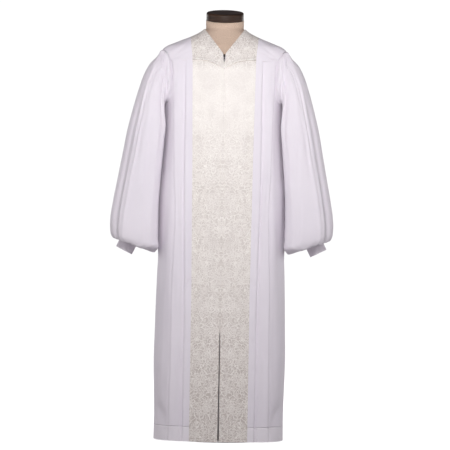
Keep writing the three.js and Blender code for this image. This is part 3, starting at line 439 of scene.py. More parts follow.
def cloth(name, node, grid, inner=None, slot="white_cloth", extra=0.0, around=False, uv=None):
    """Sheets of cloth that stand for CAD nodes; a * in the names is right and left.

    The grid, which gives the flat size, is the outer face, or the middle where there is no inner face.
    """
    width, length, area = grid_size(grid, around)
    flat = (round(width, 4), round(length + extra, 4))
    area = min(area + width * extra, 0.999 * flat[0] * flat[1])
    if inner is None:
        half = grid_normals(grid, around) * SHELL / 2
        grid, inner = grid + half, grid - half
    for side, sign in (("right", 1), ("left", -1)) if "*" in name else (("", 1),):
        outer_face, inner_face = (face[:, ::sign] * np.array([sign, 1, 1]) for face in (grid, inner))
        turned_uv = None if uv is None else uv[:, ::sign]
        obj = shell(name.replace("*", side), outer_face, inner_face, around, turned_uv)
        place_piece(obj, slot, node.replace("*", side))


# ---- Materials


def linear(red, green, blue):
    """A colour as numbers up to 255, in the renderer's scale."""
    shares = [value / 255 for value in (red, green, blue)]
    return [v / 12.92 if v <= 0.04045 else ((v + 0.055) / 1.055) ** 2.4 for v in shares]


class Shader:
    """A node tree with short ways to add nodes and link them."""

    def __init__(self, name):
        self.material = bpy.data.materials.new(name)
        self.material.use_nodes = True
        self.tree = self.material.node_tree
        self.bsdf = self.tree.nodes["Principled BSDF"]

    def link(self, value, socket):
        if isinstance(value, bpy.types.NodeSocket):
            self.tree.links.new(value, socket)
        else:
            socket.default_value = value

    def node(self, kind, inputs, **settings):
        """Adds a node with its settings and inputs, and gives its outputs."""
        node = self.tree.nodes.new("ShaderNode" + kind)
        for key, value in settings.items():
            setattr(node, key, value)
        for key, value in inputs.items():
            self.link(value, node.inputs[key])
        return node.outputs

    def __getattr__(self, operation):
        """A math node by its name, such as s.multiply(a, b)."""
        return lambda *values: self.node("Math", dict(enumerate(values)), operation=operation.upper())[0]

    def uv(self):
        return self.node("UVMap", {}, uv_map="cloth")[0]

    def place(self):
        return self.node("TexCoord", {})["Object"]

    def split(self, vector):
        return self.node("SeparateXYZ", {0: vector})

    def stretched(self, vector, x, y, z=1):
        return self.node("Mapping", {"Vector": vector, "Scale": (x, y, z)})[0]

    def noise(self, vector, scale, detail=2.0, rough=0.5, output="Fac"):
        inputs = {"Vector": vector, "Scale": scale, "Detail": detail, "Roughness": rough}
        return self.node("TexNoise", inputs)[output]

    def cells(self, vector, scale, feature):
        inputs = {"Vector": vector, "Scale": scale}
        return self.node("TexVoronoi", inputs, feature=feature, voronoi_dimensions="2D")["Distance"]

    def tendrils(self, vector, scale):
        """1 on the lines of an uneven net and on a ring in each of its cells, 0 between."""
        wander = self.noise(vector, 1.4 * scale, 0, output="Color")
        inputs = {0: wander, 1: (0.9 / scale, 0.9 / scale, 0), 2: vector}
        moved = self.node("VectorMath", inputs, operation="MULTIPLY_ADD")[0]
        line = self.range(self.cells(moved, scale, "DISTANCE_TO_EDGE"), 0.015, 0.1, 1, 0)
        ring = self.absolute(self.subtract(self.cells(moved, scale, "F1"), 0.22))
        return self.maximum(line, self.range(ring, 0.015, 0.085, 1, 0))

    def ramp(self, value, *stops):
        node = self.tree.nodes.new("ShaderNodeValToRGB")
        self.link(value, node.inputs[0])
        elements = node.color_ramp.elements
        for position, colour in stops:
            elements.new(position).color = (*colour, 1)
        for unwanted in (0, -1):
            elements.remove(elements[unwanted])
        return node.outputs[0]

    def blend(self, share, a, b):
        """From colour a to b; each is a socket, or numbers up to 255."""
        a, b = (c if isinstance(c, bpy.types.NodeSocket) else (*linear(*c), 1) for c in (a, b))
        return self.node("Mix", {"Factor": share, 6: a, 7: b}, data_type="RGBA")[2]

    def range(self, value, *limits):
        """Softly turns what lies between the first two limits into the last two."""
        names = ("Value", "From Min", "From Max", "To Min", "To Max")
        return self.node("MapRange", dict(zip(names, (value, *limits))), interpolation_type="SMOOTHSTEP")[0]

    def mottle(self, value, low, high, a, b, most=1):
        return self.blend(self.range(value, low, high, 0, most), a, b)

    def weave(self, vector, pitch):
        """Height of a plain weave: threads that pass over and under each other."""
        x, y, _ = self.split(vector)
        warp, weft = (self.sine(self.multiply(way, 2 * math.pi / pitch)) for way in (x, y))
        return self.multiply(warp, weft)

    def relief(self, *layers):
        """Stacks bumps: pairs of a height and the distance that its range of 1 stands for."""
        inputs = {}
        for height, distance in layers:
            inputs |= {"Distance": distance, "Height": height}
            inputs["Normal"] = self.node("Bump", inputs)[0]
        self.link(inputs["Normal"], self.bsdf.inputs["Normal"])

    def set(self, **values):
        for key, value in values.items():
            self.link(value, self.bsdf.inputs[key.replace("_", " ")])
        return self.material


def white_cloth_material():
    s = Shader("white_polyester")
    uv, place = s.uv(), s.place()
    z = s.split(place)[2]
    hem_top = (HEM_LINE - FLOOR) / 1000
    colour = s.mottle(s.noise(place, 3.2, 3), 0.3, 0.7, (239, 233, 240), (234, 228, 236))
    hem = s.range(z, hem_top - 0.0005, hem_top + 0.0008, 1, 0)
    colour = s.blend(s.multiply(hem, 0.5), colour, (248, 243, 247))
    slub = s.noise(s.stretched(uv, 2600, 90), 1, 1)
    colour = s.blend(s.multiply(slub, 0.12), colour, (220, 210, 222))
    line = s.absolute(s.subtract(z, hem_top + 0.0002))
    s.relief(
        (s.noise(place, 16, 3, 0.45), 0.0016),
        (s.range(line, 0.0006, 0.0028, -1, 0), 0.0014),
        (s.weave(uv, 0.00055), 0.00004),
    )
    sheen = {"Sheen_Weight": 0.12, "Sheen_Roughness": 0.45}
    return s.set(Base_Color=colour, Roughness=0.72, Specular_IOR_Level=0.25, **sheen)


# The damask: flower medallions on a staggered lattice, each inside an ogee of leafy stems.
# It repeats up the cloth and is mirrored at the centre.
DAMASK_FINE = 1.3  # the sizes below are divided by this
DAMASK_REPEAT, DAMASK_WIDE, DAMASK_START = 0.230, 0.104, 0.057
BUD_RADIUS, STEM_HALF, STEM_SWING, STEM_PLACE = 0.0032, 0.0011, 0.014, 0.026
# How much of the motifs' lighter tone the ground shares, by height in metres. This is painted light and
# shade: most at the flat chest, where the light is brightest, and less towards the hem and over the shoulders
DAMASK_PAINTED_LIGHT = [
    (0.1, 0), (0.32, 0.12), (0.5, 0.3), (0.9, 0.4), (1.06, 0.58), (1.16, 0.8), (1.29, 0.8), (1.34, 0.3),
    (1.44, 0.15),
]
TOP_HEIGHT = 1.5
# Petal rings of a medallion: petals, middle radius, half length, half width, turn
DAMASK_PETALS = [(10, 17.5, 8.0, 4.6, 0.0), (6, 6.6, 4.4, 3.0, 0.3)]
# Leaves beside a medallion, mirrored in its height: x, z, heading in degrees, length, width
DAMASK_SPRAYS = [
    (5.5, 33, 78, 15, 6), (14, 29, 52, 15, 6), (24, 17, 30, 14, 5.5), (28, 4, 75, 11, 5),
    (5, -33, -80, 14, 6), (14.5, -28, -40, 15, 6), (25, -15, -62, 13, 5.5), (17, 40, 95, 9, 4),
]
# Leaves along a stem: how many in a repeat, distance from the stem, heading, length, width
STEM_LEAVES = [(20, 5.6, 50, 11.5, 4.2), (40, 2.2, 20, 4.2, 1.8)]


def pointed(s, a, b):
    """Below 1 inside a leaf with pointed ends, from its own two coordinates."""
    return s.multiply_add(a, a, s.absolute(b))


def turned_leaf(s, u, w, x, z, heading, length, width):
    """A leaf about (x, z) in the coordinates u and w, in metres."""
    cos, sin = math.cos(math.radians(heading)), math.sin(math.radians(heading))
    long, wide = length / 2000, width / 2000
    du = s.subtract(u, x / 1000)
    dw = s.subtract(w, z / 1000)
    a = s.multiply_add(dw, sin / long, s.multiply(du, cos / long))
    b = s.multiply_add(dw, cos / wide, s.multiply(du, -sin / wide))
    return pointed(s, a, b)


def damask_height(s, uv):
    """1 on the motifs of the damask and 0 on its ground, and the motifs' inner parts."""
    x, z, _ = s.split(uv)
    half_wide, half_high = DAMASK_WIDE / 2, DAMASK_REPEAT / 2
    p1 = s.wrap(x, half_wide, -half_wide)
    p2 = s.wrap(s.subtract(x, half_wide), half_wide, -half_wide)
    q1, q2 = (
        s.wrap(s.subtract(z, start), half_high, -half_high)
        for start in (DAMASK_START, DAMASK_START + half_high)
    )
    first = s.less_than(s.absolute(q1), half_high / 2)
    p = s.multiply_add(first, s.subtract(p1, p2), p2)
    q = s.multiply_add(first, s.subtract(q1, q2), q2)
    side = s.absolute(p)
    radius = s.sqrt(s.multiply_add(p, p, s.multiply(q, q)))
    angle = s.arctan2(p, q)
    nearest = s.divide(radius, BUD_RADIUS)
    for petals, middle, long, wide, turn in DAMASK_PETALS:
        local = s.wrap(s.add(angle, turn), math.pi / petals, -math.pi / petals)
        a = s.multiply(s.subtract(radius, middle / 1000), 1000 / long)
        b = s.multiply(s.multiply(radius, local), 1000 / wide)
        nearest = s.minimum(nearest, pointed(s, a, b))
    for leaf in DAMASK_SPRAYS:
        nearest = s.minimum(nearest, turned_leaf(s, side, q, *leaf))
    wave = s.cosine(s.multiply(q, 2 * math.pi / DAMASK_REPEAT))
    stem = s.absolute(s.subtract(side, s.multiply_add(wave, STEM_SWING, STEM_PLACE)))
    nearest = s.minimum(nearest, s.divide(stem, STEM_HALF))
    for count, off, heading, length, width in STEM_LEAVES:
        step = DAMASK_REPEAT / count / 2
        along = s.wrap(z, step, -step)
        nearest = s.minimum(nearest, turned_leaf(s, stem, along, off, 0, heading, length, width))
    return s.range(nearest, 0.8, 1.1, 1, 0), s.range(nearest, 0.1, 0.55, 1, 0)


def brocade_material():
    s = Shader("ivory_damask")
    uv, place = s.uv(), s.place()
    z = s.split(place)[2]
    motif, core = damask_height(s, s.stretched(uv, DAMASK_FINE, DAMASK_FINE))
    motif = s.maximum(s.multiply(motif, 0.55), s.tendrils(uv, 58))
    # Painted light and shade: the ground is made lighter at the chest and darker towards the hem and over the
    # shoulders
    painted_light_stops = [(height / TOP_HEIGHT, (share, share, share)) for height, share in DAMASK_PAINTED_LIGHT]
    wear_and_painted_light = s.ramp(s.divide(z, TOP_HEIGHT), *painted_light_stops)
    shade = s.multiply_add(motif, s.subtract(1, wear_and_painted_light), wear_and_painted_light)
    ground = s.weave(uv, 0.0009)
    cloud = s.noise(uv, 11, 4, 0.55)
    fleck = s.noise(s.stretched(uv, 1500, 300), 1, 2)
    base = s.mottle(fleck, 0.35, 0.65, (206, 196, 190), (198, 187, 181))
    raised = s.blend(core, (250, 245, 240), (242, 235, 230))
    colour = s.mottle(cloud, 0.4, 0.7, s.blend(shade, base, raised), (216, 207, 203), 0.25)
    s.relief((s.noise(place, 14, 2, 0.4), 0.0008), (motif, 0.00022), (ground, 0.00005))
    rough = s.range(motif, 0, 1, 0.62, 0.5)
    return s.set(Base_Color=colour, Roughness=rough, Sheen_Weight=0.1, Specular_IOR_Level=0.3)


def linen_material():
    s = Shader("linen_cover")
    uv, place = s.uv(), s.place()
    weave = s.weave(uv, 0.0016)
    slub, cross = (s.noise(s.stretched(uv, *scale), 1, 3) for scale in ((1800, 160), (160, 1800)))
    threads = s.add(slub, cross)
    colour = s.mottle(threads, 0.75, 1.25, (194, 167, 147), (231, 207, 188))
    colour = s.mottle(s.noise(place, 9, 3), 0.35, 0.7, colour, (205, 180, 160), 0.5)
    s.relief((threads, 0.0003), (weave, 0.00015))
    return s.set(Base_Color=colour, Roughness=0.9, Sheen_Weight=0.08, Specular_IOR_Level=0.15)


def wood_material():
    s = Shader("dark_turned_wood")
    place = s.place()
    streaks = s.noise(s.stretched(place, 12, 12, 160), 1, 4, 0.6)
    pores = s.noise(s.stretched(place, 60, 60, 900), 1, 2)
    colour = s.ramp(streaks, (0.3, linear(30, 18, 11)), (0.5, linear(51, 34, 24)), (0.72, linear(70, 48, 35)))
    colour = s.mottle(pores, 0.55, 0.75, colour, (18, 12, 10), 0.5)
    s.relief((streaks, 0.0003), (pores, 0.0001))
    coat = {"Coat_Weight": 0.03, "Coat_Roughness": 0.35}
    rough = s.range(streaks, 0.3, 0.7, 0.55, 0.42)
    return s.set(Base_Color=colour, Roughness=rough, Specular_IOR_Level=0.2, **coat)


def steel_material():
    s = Shader("painted_steel")
    place = s.place()
    dust = s.noise(place, 14, 3)
    colour = s.mottle(dust, 0.4, 0.75, (232, 230, 228), (220, 217, 214), 0.5)
    s.relief((s.noise(place, 420, 2), 0.00006))
    return s.set(Base_Color=colour, Roughness=s.range(dust, 0.3, 0.7, 0.4, 0.55), Coat_Weight=0.1)


def zip_metal_material():
    s = Shader("dark_zip_metal")
    wear_and_painted_light = s.noise(s.place(), 260, 3)
    colour = s.ramp(wear_and_painted_light, (0.35, linear(52, 48, 45)), (0.7, linear(104, 98, 92)))
    s.relief((wear_and_painted_light, 0.00004))
    return s.set(Base_Color=colour, Roughness=s.range(wear_and_painted_light, 0.3, 0.7, 0.28, 0.45), Metallic=0.9)


def thread_material(name, *tint):
    s = Shader(name)
    twist = s.noise(s.stretched(s.place(), 900, 900, 900), 1, 1)
    colour = s.mottle(twist, 0.35, 0.65, tint, [c - 14 for c in tint])
    s.relief((twist, 0.0001))
    return s.set(Base_Color=colour, Roughness=0.55, Sheen_Weight=0.1)


def floor_material():
    s = Shader("pale_floor")
    speck = s.range(s.noise(s.place(), 3, 2), 0.3, 0.7, 0.8, 0.84)
    return s.set(Base_Color=speck, Roughness=0.9, Emission_Color=(1, 1, 1, 1), Emission_Strength=0.93)


MATERIALS = {
    "white_cloth": white_cloth_material(),
    "brocade": brocade_material(),
    "linen": linen_material(),
    "dark_wood": wood_material(),
    "painted_steel": steel_material(),
}
WHITE_THREAD = thread_material("white_thread", 238, 232, 236)
IVORY_THREAD = thread_material("ivory_thread", 236, 230, 220)

# ---- The brocade


def centre_edge(z):
    down = np.clip((SLIT_TOP - z) / (SLIT_TOP - HEM), 0, 1)
    slit = smooth(SLIT_TOP, SLIT_TOP - 20, z) * mix(*SLIT_GAPE, down)
    room = smooth(SLIDER_FROM, SLIDER_FULL, z) * (SLIDER_HALF + 0.3)
    return SEAM_GAP / 2 + np.maximum(slit, room)


def brocade_pieces():
    shares = 1 - (1 - np.linspace(0, 1, 46)) ** 1.25
    fan = 1282  # the rows above this height bend towards the curved seam
    z_row, u = np.meshgrid(spread([HEM, fan, YOKE_SEAM], [300, 16]), shares, indexing="ij")
    x = mix(centre_edge(np.minimum(z_row, V_SEAM)), brocade_line(z_row) - SEAM_GAP / 2, u)
    rise = np.clip((z_row - fan) / (YOKE_SEAM - fan), 0, 1)
    z = np.where(rise > 0, mix(fan, yoke_curve(x) - SEAM_GAP, rise), z_row)
    angle = front_angle(x, z)
    below_seam = yoke_curve(np.clip(x, 0, 120)) - SEAM_GAP - z
    turned_in = 0.9 * bump((x - centre_edge(z)) / 1.6) + 1.2 * bump(below_seam / 4.5)
    lift = -turned_in - creases(BROCADE_CREASES, x, z)
    cloth("damask_panel_*", "brocade_panel_*", on_robe(angle, z, lift),
          on_robe(angle, z, lift - SHELL), "brocade", HEM_TURN, uv=np.stack([x, z], -1))


def brocade_yoke_pieces():
    centre = np.array([V_SEAM, SLIDER_FROM, SLIDER_FULL, V_BOTTOM], float)
    outer_high, neck_high = ridge_height(BROCADE_SHOULDER), ridge_height(NECK_X)

    def inner_edge(t):
        low_z = np.interp(np.clip(t, 0, 1) * 3, np.arange(4), centre)
        s = np.clip(t - 1, 0, 1)
        x = np.where(t > 1, mix(centre_edge(V_BOTTOM), NECK_X, s), centre_edge(low_z))
        return x, np.where(t > 1, mix(V_BOTTOM, neck_high, s), low_z)

    def outer_edge(t):
        z = mix(YOKE_SEAM, outer_high, t / 2)
        return brocade_line(z) - SEAM_GAP / 2, z

    def place(u, t):
        (x0, z0), (x1, z1) = inner_edge(t), outer_edge(t)
        seam_x = mix(centre_edge(V_SEAM), brocade_line(YOKE_SEAM) - SEAM_GAP / 2, u)
        ridge_x = mix(NECK_X, BROCADE_SHOULDER - SEAM_GAP / 2, u)
        seam_sag = yoke_curve(seam_x) - mix(V_SEAM, YOKE_SEAM, u)
        ridge_sag = ridge_height(ridge_x) - mix(neck_high, outer_high, u)
        x = mix(x0, x1, u)
        z = mix(z0, z1, u) + mix(seam_sag, ridge_sag, t / 2)
        angle = np.where(t >= 2, np.pi / 2 - half_seam(z), front_angle(x, np.minimum(z, ridge_height(x))))
        return angle, z

    shares = np.linspace(0, 1, 46)
    lower = np.repeat(np.linspace(0, 1, 22)[:-1, None], len(shares), 1)
    upper = 1 + even_columns(lambda u, t: place(u, 1 + t), shares, 64)
    angle, z, x = path_grid(place, shares, np.concatenate([lower, upper]))
    from_seam = z - z[:1]
    roll = ROLL * (1 - smooth(0, 26, from_seam)) + 3.0 * bump((from_seam - 4.4) / 3.6)
    lift = roll - bump((x - x[:, :1]) / 2.0) * 0.5 - creases(BROCADE_YOKE_CREASES, x, z)
    outer = on_robe(angle, z, lift)
    uv = np.stack([x, z + 0.35 * np.abs(outer[..., 1] - outer[:1, :, 1])], -1)
    cloth("damask_yoke_*", "brocade_yoke_*", outer,
          on_robe(angle, z, np.minimum(lift, ROLL) - SHELL), "brocade", uv=uv)


# ---- The plain white fronts


def front_yoke_pieces():
    low = YOKE_SEAM + SEAM_GAP
    edge = armhole_edge(low, 400)
    start = BROCADE_SHOULDER + SEAM_GAP / 2
    high, tip = ridge_height(start), girth_half(SHOULDER_TIP)

    def place(u, t):
        z0 = mix(low, high, t)
        x1, z1 = edge(t)
        ridge_sag = ridge_height(mix(start, tip, u)) - mix(high, SHOULDER_TIP, u)
        x = mix(brocade_line(z0) + SEAM_GAP / 2, x1, u)
        z = mix(z0, z1, u) + ridge_sag * smooth(0, 1, t) * t
        return np.where(t >= 1, np.pi / 2 - half_seam(z), front_angle(x, z)), z

    shares = np.linspace(0, 1, 40)
    angle, z, _ = path_grid(place, shares, even_columns(place, shares, 60))
    z[0] -= YOKE_OVERLAP
    x = girth_point(angle, z)[..., 0]
    lift = 0.25 * bump((z - z[:1] - 2.5) / 3.0) - creases(YOKE_CREASES, x, z)
    cloth("shoulder_yoke_*", "front_yoke_*", on_robe(angle, z, lift),
          on_robe(angle, z, np.minimum(lift, 0) - SHELL))


FOLD_RADIUS = PLEAT_PITCH / 2
SUNK = -2 * PLEAT_PITCH  # how deep the cloth lies beneath a pleat


def half_turn(x, depth, swing, count=7):
    turn = np.linspace(-np.pi / 2, np.pi / 2, count)[1:-1]
    return [(x + swing * np.cos(a), -depth - FOLD_RADIUS - FOLD_RADIUS * math.sin(a)) for a in turn]


def knife_pleat(out):
    back = out - PLEAT_UNDERLAY
    under = [(x, -2 * FOLD_RADIUS) for x in np.linspace(out, back, 6)]
    turns = half_turn(out, 0, FOLD_RADIUS), half_turn(back, 2 * FOLD_RADIUS, -FOLD_RADIUS)
    return [(out, 0.0), *turns[0], *under, *turns[1], (back, SUNK)]


def front_section(z):
    """The section of a white front at one height, as distances from the centre and lifts."""
    edge1, edge2 = pleat1_line(z), pleat2_line(z)
    rest = (edge2 - edge1) / 4
    out1, out2 = (edge - FOLD_RADIUS - CLOTH / 2 for edge in (edge1, edge2))
    top = [(x, 0.0) for x in np.linspace(brocade_line(z) + SEAM_GAP / 2, out1, 9)[:-1]]
    between = [(x, SUNK) for x in np.linspace(out1 - PLEAT_UNDERLAY, edge1 + 4, 9)[1:]]
    run = [(edge1 + 4, SUNK), (edge1 + rest * 1.6, SUNK * 0.6), (edge1 + rest * 2.6, SUNK * 0.2), (out2, 0.0)]
    lifts = curve(*zip(*run))
    middle = [(x, float(lifts(x))) for x in np.linspace(edge1 + 4, out2, 16)[1:-1]]
    after = [(x, SUNK) for x in np.linspace(out2 - PLEAT_UNDERLAY, edge2 + 1, 8)[1:]]
    return np.array(top + knife_pleat(out1) + between + middle + knife_pleat(out2) + after)


def pleat_relief(x, z):
    """Each pleat's fold stands proud and the cloth beside it is drawn in, unevenly down its length."""
    total = 0
    for line, deep, phase in ((pleat1_line, 5.6, 0.4), (pleat2_line, 6.4, 2.1)):
        uneven = 0.75 + 0.25 * np.sin(z / 61 + phase) * np.sin(z / 143 + 2 * phase)
        off = x - line(z)
        fold = 1.3 * bump((off + 5) / 4.0) - deep * bump((off - 4.5) / 4.6)
        total = total + smooth(YOKE_SEAM, YOKE_SEAM - 60, z) * uneven * fold
    return total


def front_panel_pieces():
    rows = []
    for z in spread([HEM, DENSE_FROM, YOKE_SEAM], [210, 50]):
        x, lift = front_section(z).T
        angle = front_angle(x, z)
        share = np.linspace(0, 1, 24)[1:]
        side = mix(angle[-1], side_edge(z), share)
        side_x = girth_point(side, z)[:, 0]
        side_lift = SUNK * (1 - smooth(0.75, 1, share)) - creases(FRONT_CREASES, side_x, z) * (1 - share**4)
        front_lift = lift + (pleat_relief(x, z) - creases(FRONT_CREASES, x, z)) * smooth(0, 6, x - x[0])
        lifts = np.concatenate([front_lift, side_lift]) - CLOTH / 2
        rows.append(on_robe(np.concatenate([angle, side]), z, lifts))
    cloth("pleated_front_*", "front_panel_*", np.array(rows), extra=HEM_TURN)


# ---- The back


def back_top(x):
    across = np.abs(x) / NECK_X
    dipped = ridge_height(NECK_X) - BACK_NECK_DIP * (1 - np.minimum(across, 1) ** 2)
    return np.where(across >= 1, ridge_height(np.abs(x)), dipped)


def back_yoke_piece():
    low = BACK_YOKE_SEAM + SEAM_GAP
    edge = armhole_edge(low, 500)
    tip = girth_half(SHOULDER_TIP)

    def place(u, t):
        across = np.abs(u)
        x1, z1 = edge(t)
        ridge_x = across * tip
        sag = back_top(ridge_x) - mix(back_top(0), SHOULDER_TIP, across)
        z = mix(mix(low, back_top(0), t), z1, across) + sag * smooth(0, 1, t) * t
        x = across * x1
        flat = front_angle(x, np.minimum(z, ridge_height(x)))
        angle = np.where((t >= 1) & (ridge_x >= NECK_X), np.pi / 2 - half_seam(z), flat)
        return np.pi - np.where(u < 0, -1, 1) * angle, z

    half = spread([1, NECK_X / tip, 0], [34, 30])
    shares = np.concatenate([half, -half[-2::-1]])
    angle, z, x = path_grid(place, shares, even_columns(place, shares, 60))
    lift = 0.5 * bump((z - z[:1] - 1.5) / 2.0) - creases(BACK_YOKE_CREASES, x, z)
    cloth("back_yoke_cloth", "back_yoke", on_robe(angle, z, lift),
          on_robe(angle, z, np.minimum(lift, 0) - SHELL))


def back_fold(angle, z):
    total = 0
    for at, wide, deep in BACK_FOLDS:
        drift = 0.012 * np.sin(at * 17 + z / 260)
        total = total + deep * bump((np.abs(angle) / (np.pi / 2) - at - drift) / wide)
    return total * smooth(BACK_YOKE_SEAM, BACK_YOKE_SEAM - 500, z)


def back_panel_piece():
    heights = spread([HEM, DENSE_FROM, BACK_YOKE_SEAM], [170, 40])
    z, share = np.meshgrid(heights, np.linspace(-1, 1, 222), indexing="ij")
    angle = share * side_edge(z)
    x = girth_point(np.pi + angle, z)[..., 0]
    lift = -CLOTH / 2 - back_fold(angle, z) - creases(BACK_CREASES, x, z) * (1 - share**6)
    grid = on_robe(np.pi + angle, z, lift)
    cloth("back_panel_cloth", "back_panel", grid, extra=HEM_TURN)


# ---- Sleeves and cuffs


def armhole_height(share, above):
    power = 4 if above else 2.5
    reach = (1 - share**power) ** (1 / power)
    return ARMHOLE_MIDDLE + (1 if above else -1) * reach * (SHOULDER_TIP - ARMHOLE_MIDDLE)


def armhole_corners():
    """The armhole's corners all round: down the front, then up the back."""
    upper = [armhole_height(s, True) for s in (0, 0.24, 0.44, 0.62, 0.78, 0.9)]
    lower = [armhole_height(s, False) for s in (0.95, 0.76, 0.44, 0)]

    def heights(seam):
        between = [seam, (seam + ARMHOLE_MIDDLE) / 2, ARMHOLE_MIDDLE]
        return [z for z in upper if z > seam + 4] + between + lower

    inset = CLOTH / 2 + SEAM_GAP + 0.25
    shrink = 1 - inset / (SHOULDER_TIP - ARMHOLE_MIDDLE)
    narrow = inset / (ARMHOLE_WIDTH * ARMHOLE_DEPTH)

    def corner(z, side):
        width = float(armhole_width(z)) * (1 - narrow)
        z_in = ARMHOLE_MIDDLE + (z - ARMHOLE_MIDDLE) * shrink
        return math.pi / 2 - side * width, z_in, z > upper[5] - 12

    front = [corner(z, 1) for z in heights(YOKE_SEAM)]
    back = [corner(z, -1) for z in heights(BACK_YOKE_SEAM)]
    loop = front + back[1:-1][::-1]
    result = []
    for k, here in enumerate(loop):
        after = loop[(k + 1) % len(loop)]
        result.append(here[:2])
        if here[2] and after[2]:
            result.append((mix(here[0], after[0], 0.5), mix(here[1], after[1], 0.5)))
    return np.array(result)


def around_loop(values, at):
    """A smooth closed curve through the values, at places that count them."""
    count = len(values)
    k = np.floor(at).astype(int)
    t = (at - k)[:, None]
    p0, p1, p2, p3 = (values[(k + d) % count] for d in (-1, 0, 1, 2))
    return cubic(p1, p2, t, (p2 - p0) / 2, (p3 - p1) / 2)


def along_rings(rings, places):
    """Rings between the given ones, along smooth curves, at places that count them."""
    gaps = np.linalg.norm(np.diff(rings, axis=0), axis=-1).mean(1)
    slopes = np.diff(rings, axis=0) / gaps[:, None, None]
    h0, h1 = gaps[:-1, None, None], gaps[1:, None, None]
    inner = (slopes[:-1] * h1 + slopes[1:] * h0) / (h0 + h1)
    tangents = np.concatenate([slopes[:1], inner, slopes[-1:]])
    result = []
    for place in places:
        k = min(int(place), len(rings) - 2)
        start, end = gaps[k] * tangents[k:k + 2]
        result.append(cubic(rings[k], rings[k + 1], place - k, start, end))
    return np.array(result)


def strokes(table, angle, ring, fade=1.2):
    total = np.zeros(np.broadcast(angle, ring).shape)
    for a0, r0, a1, r1, deep, wide in table:
        along = np.clip((ring - r0) / (r1 - r0), 0, 1)
        off = (angle - mix(a0, a1, along)) / wide
        beyond = np.maximum(0, np.maximum(r0 - ring, ring - r1)) / fade
        total = total + deep * bump(off) * bump(beyond)
    return total


def sleeve_ring(index, angle):
    out_x, out_z, in_x, in_z, deep_size = SLEEVE[index]
    full = 1 - strokes(SLEEVE_TROUGHS, angle, float(index)) / 90
    below = smooth(1, 5, index) * (1 - smooth(12, 13.5, index))
    cos, sin = np.cos(angle), np.sin(angle)
    outside = cos > 0
    along = np.where(outside, signed_power(cos, 0.9) * full, signed_power(cos, mix(0.9, 0.45, below)))
    hug = np.where(outside, 0, SLEEVE_HUG * below * np.sin(2 * angle) ** 2)
    x = (out_x + in_x) / 2 + (out_x - in_x) / 2 * along - hug
    z = (out_z + in_z) / 2 + (out_z - in_z) / 2 * along
    return np.stack([x, -deep_size * signed_power(sin, 0.9) * full, z], -1)


def cuff_ring(along, inset, angle):
    across = (CUFF_HALF - inset) * np.cos(angle)
    x = CUFF_END_X - math.sin(CUFF_LEAN) * along + math.cos(CUFF_LEAN) * across
    z = CUFF_END_Z + math.cos(CUFF_LEAN) * along + math.sin(CUFF_LEAN) * across
    return np.stack([x, -(CUFF_DEEP - inset) * np.sin(angle), z], -1)


def gathers(angle, ring):
    total = np.zeros(np.broadcast(angle, ring).shape)
    for at, end, high in HEAD_GATHERS:
        grown = smooth(0.05, 0.45, ring) * (1 - smooth(0.5, end, ring))
        ridge = 2.2 * bump((angle - at) / (0.05 + 0.02 * ring))
        dip = 1.5 * bump((angle - at - 0.075) / (0.035 + 0.012 * ring))
        total += high * grown * (ridge - dip)
    for at, start, high in CUFF_GATHERS:
        grown = smooth(start, 13.8, ring) * (1 - smooth(15.2, 16, ring))
        total += high * grown * bump((angle - at) / 0.075)
    return total


def sleeve_pieces():
    corners = armhole_corners()
    even = circle(SLEEVE_COLUMNS)
    angle = even - 0.4 * np.sin(even)  # closer together on the outer side, where the gathers show
    signed = np.where(angle > np.pi, angle - 2 * np.pi, angle)
    aside = np.abs(signed)
    places = around_loop(corners, angle / (2 * np.pi) * len(corners))
    seat = on_robe(*places.T, -CLOTH)
    stand = on_robe(*places.T, HEAD_STAND * mix(0.1, 1, smooth(0.15, 0.8, aside)))
    pull = stand - sleeve_ring(0, signed)
    free = [sleeve_ring(k, signed) for k in range(1, len(SLEEVE))]
    for ring, share in zip(free, (0.6, 0.28, 0.1)):
        ring += pull * share
    ends = cuff_ring(CUFF_LENGTH + 5, -13, signed), cuff_ring(CUFF_LENGTH + 1.5, 1, signed)
    at = spread([0, 1, 4, 12, 17], [4, 40, 72, 46])
    grid = along_rings(np.array([seat, stand, *free, *ends]), at)
    ring = (at - 1)[:, None]
    relief = gathers(signed[None, :], ring) - strokes(SLEEVE_CREASES, signed[None, :], ring, 0.9)
    relief = relief * smooth(0.0, 0.3, ring) * (1 - smooth(15.4, 16, ring))
    inside = smooth(2.5, 2.9, aside)[None, :] * smooth(2, 5, ring) * (1 - smooth(11.5, 12.5, ring))
    grid = grid - grid_normals(grid, True) * (relief * (1 - inside))[..., None]
    cloth("bishop_sleeve_*", "sleeve_*", grid[::-1, ::-1],
          around=True)


def cuff_pieces():
    angle = -circle(CUFF_COLUMNS)
    along = np.concatenate([[0, 0.6, 1.4], np.linspace(2.4, CUFF_LENGTH, 26)])[:, None]
    soft = 0.8 * np.sin(3 * angle + 0.6) + 0.5 * np.sin(5 * angle + 1.9)
    swell = 0.6 * soft * (1 - smooth(30, CUFF_LENGTH, along))
    edge = 0.5 * bump(along)
    groove = 0.35 * bump((along - 6) / 0.8)
    outer, inner = (cuff_ring(along, inset + swell, angle) for inset in (edge + groove, 2 - edge * 0.4))
    cloth("cuff_band_*", "cuff_*", outer, inner, around=True)


# ---- Zip and stitches


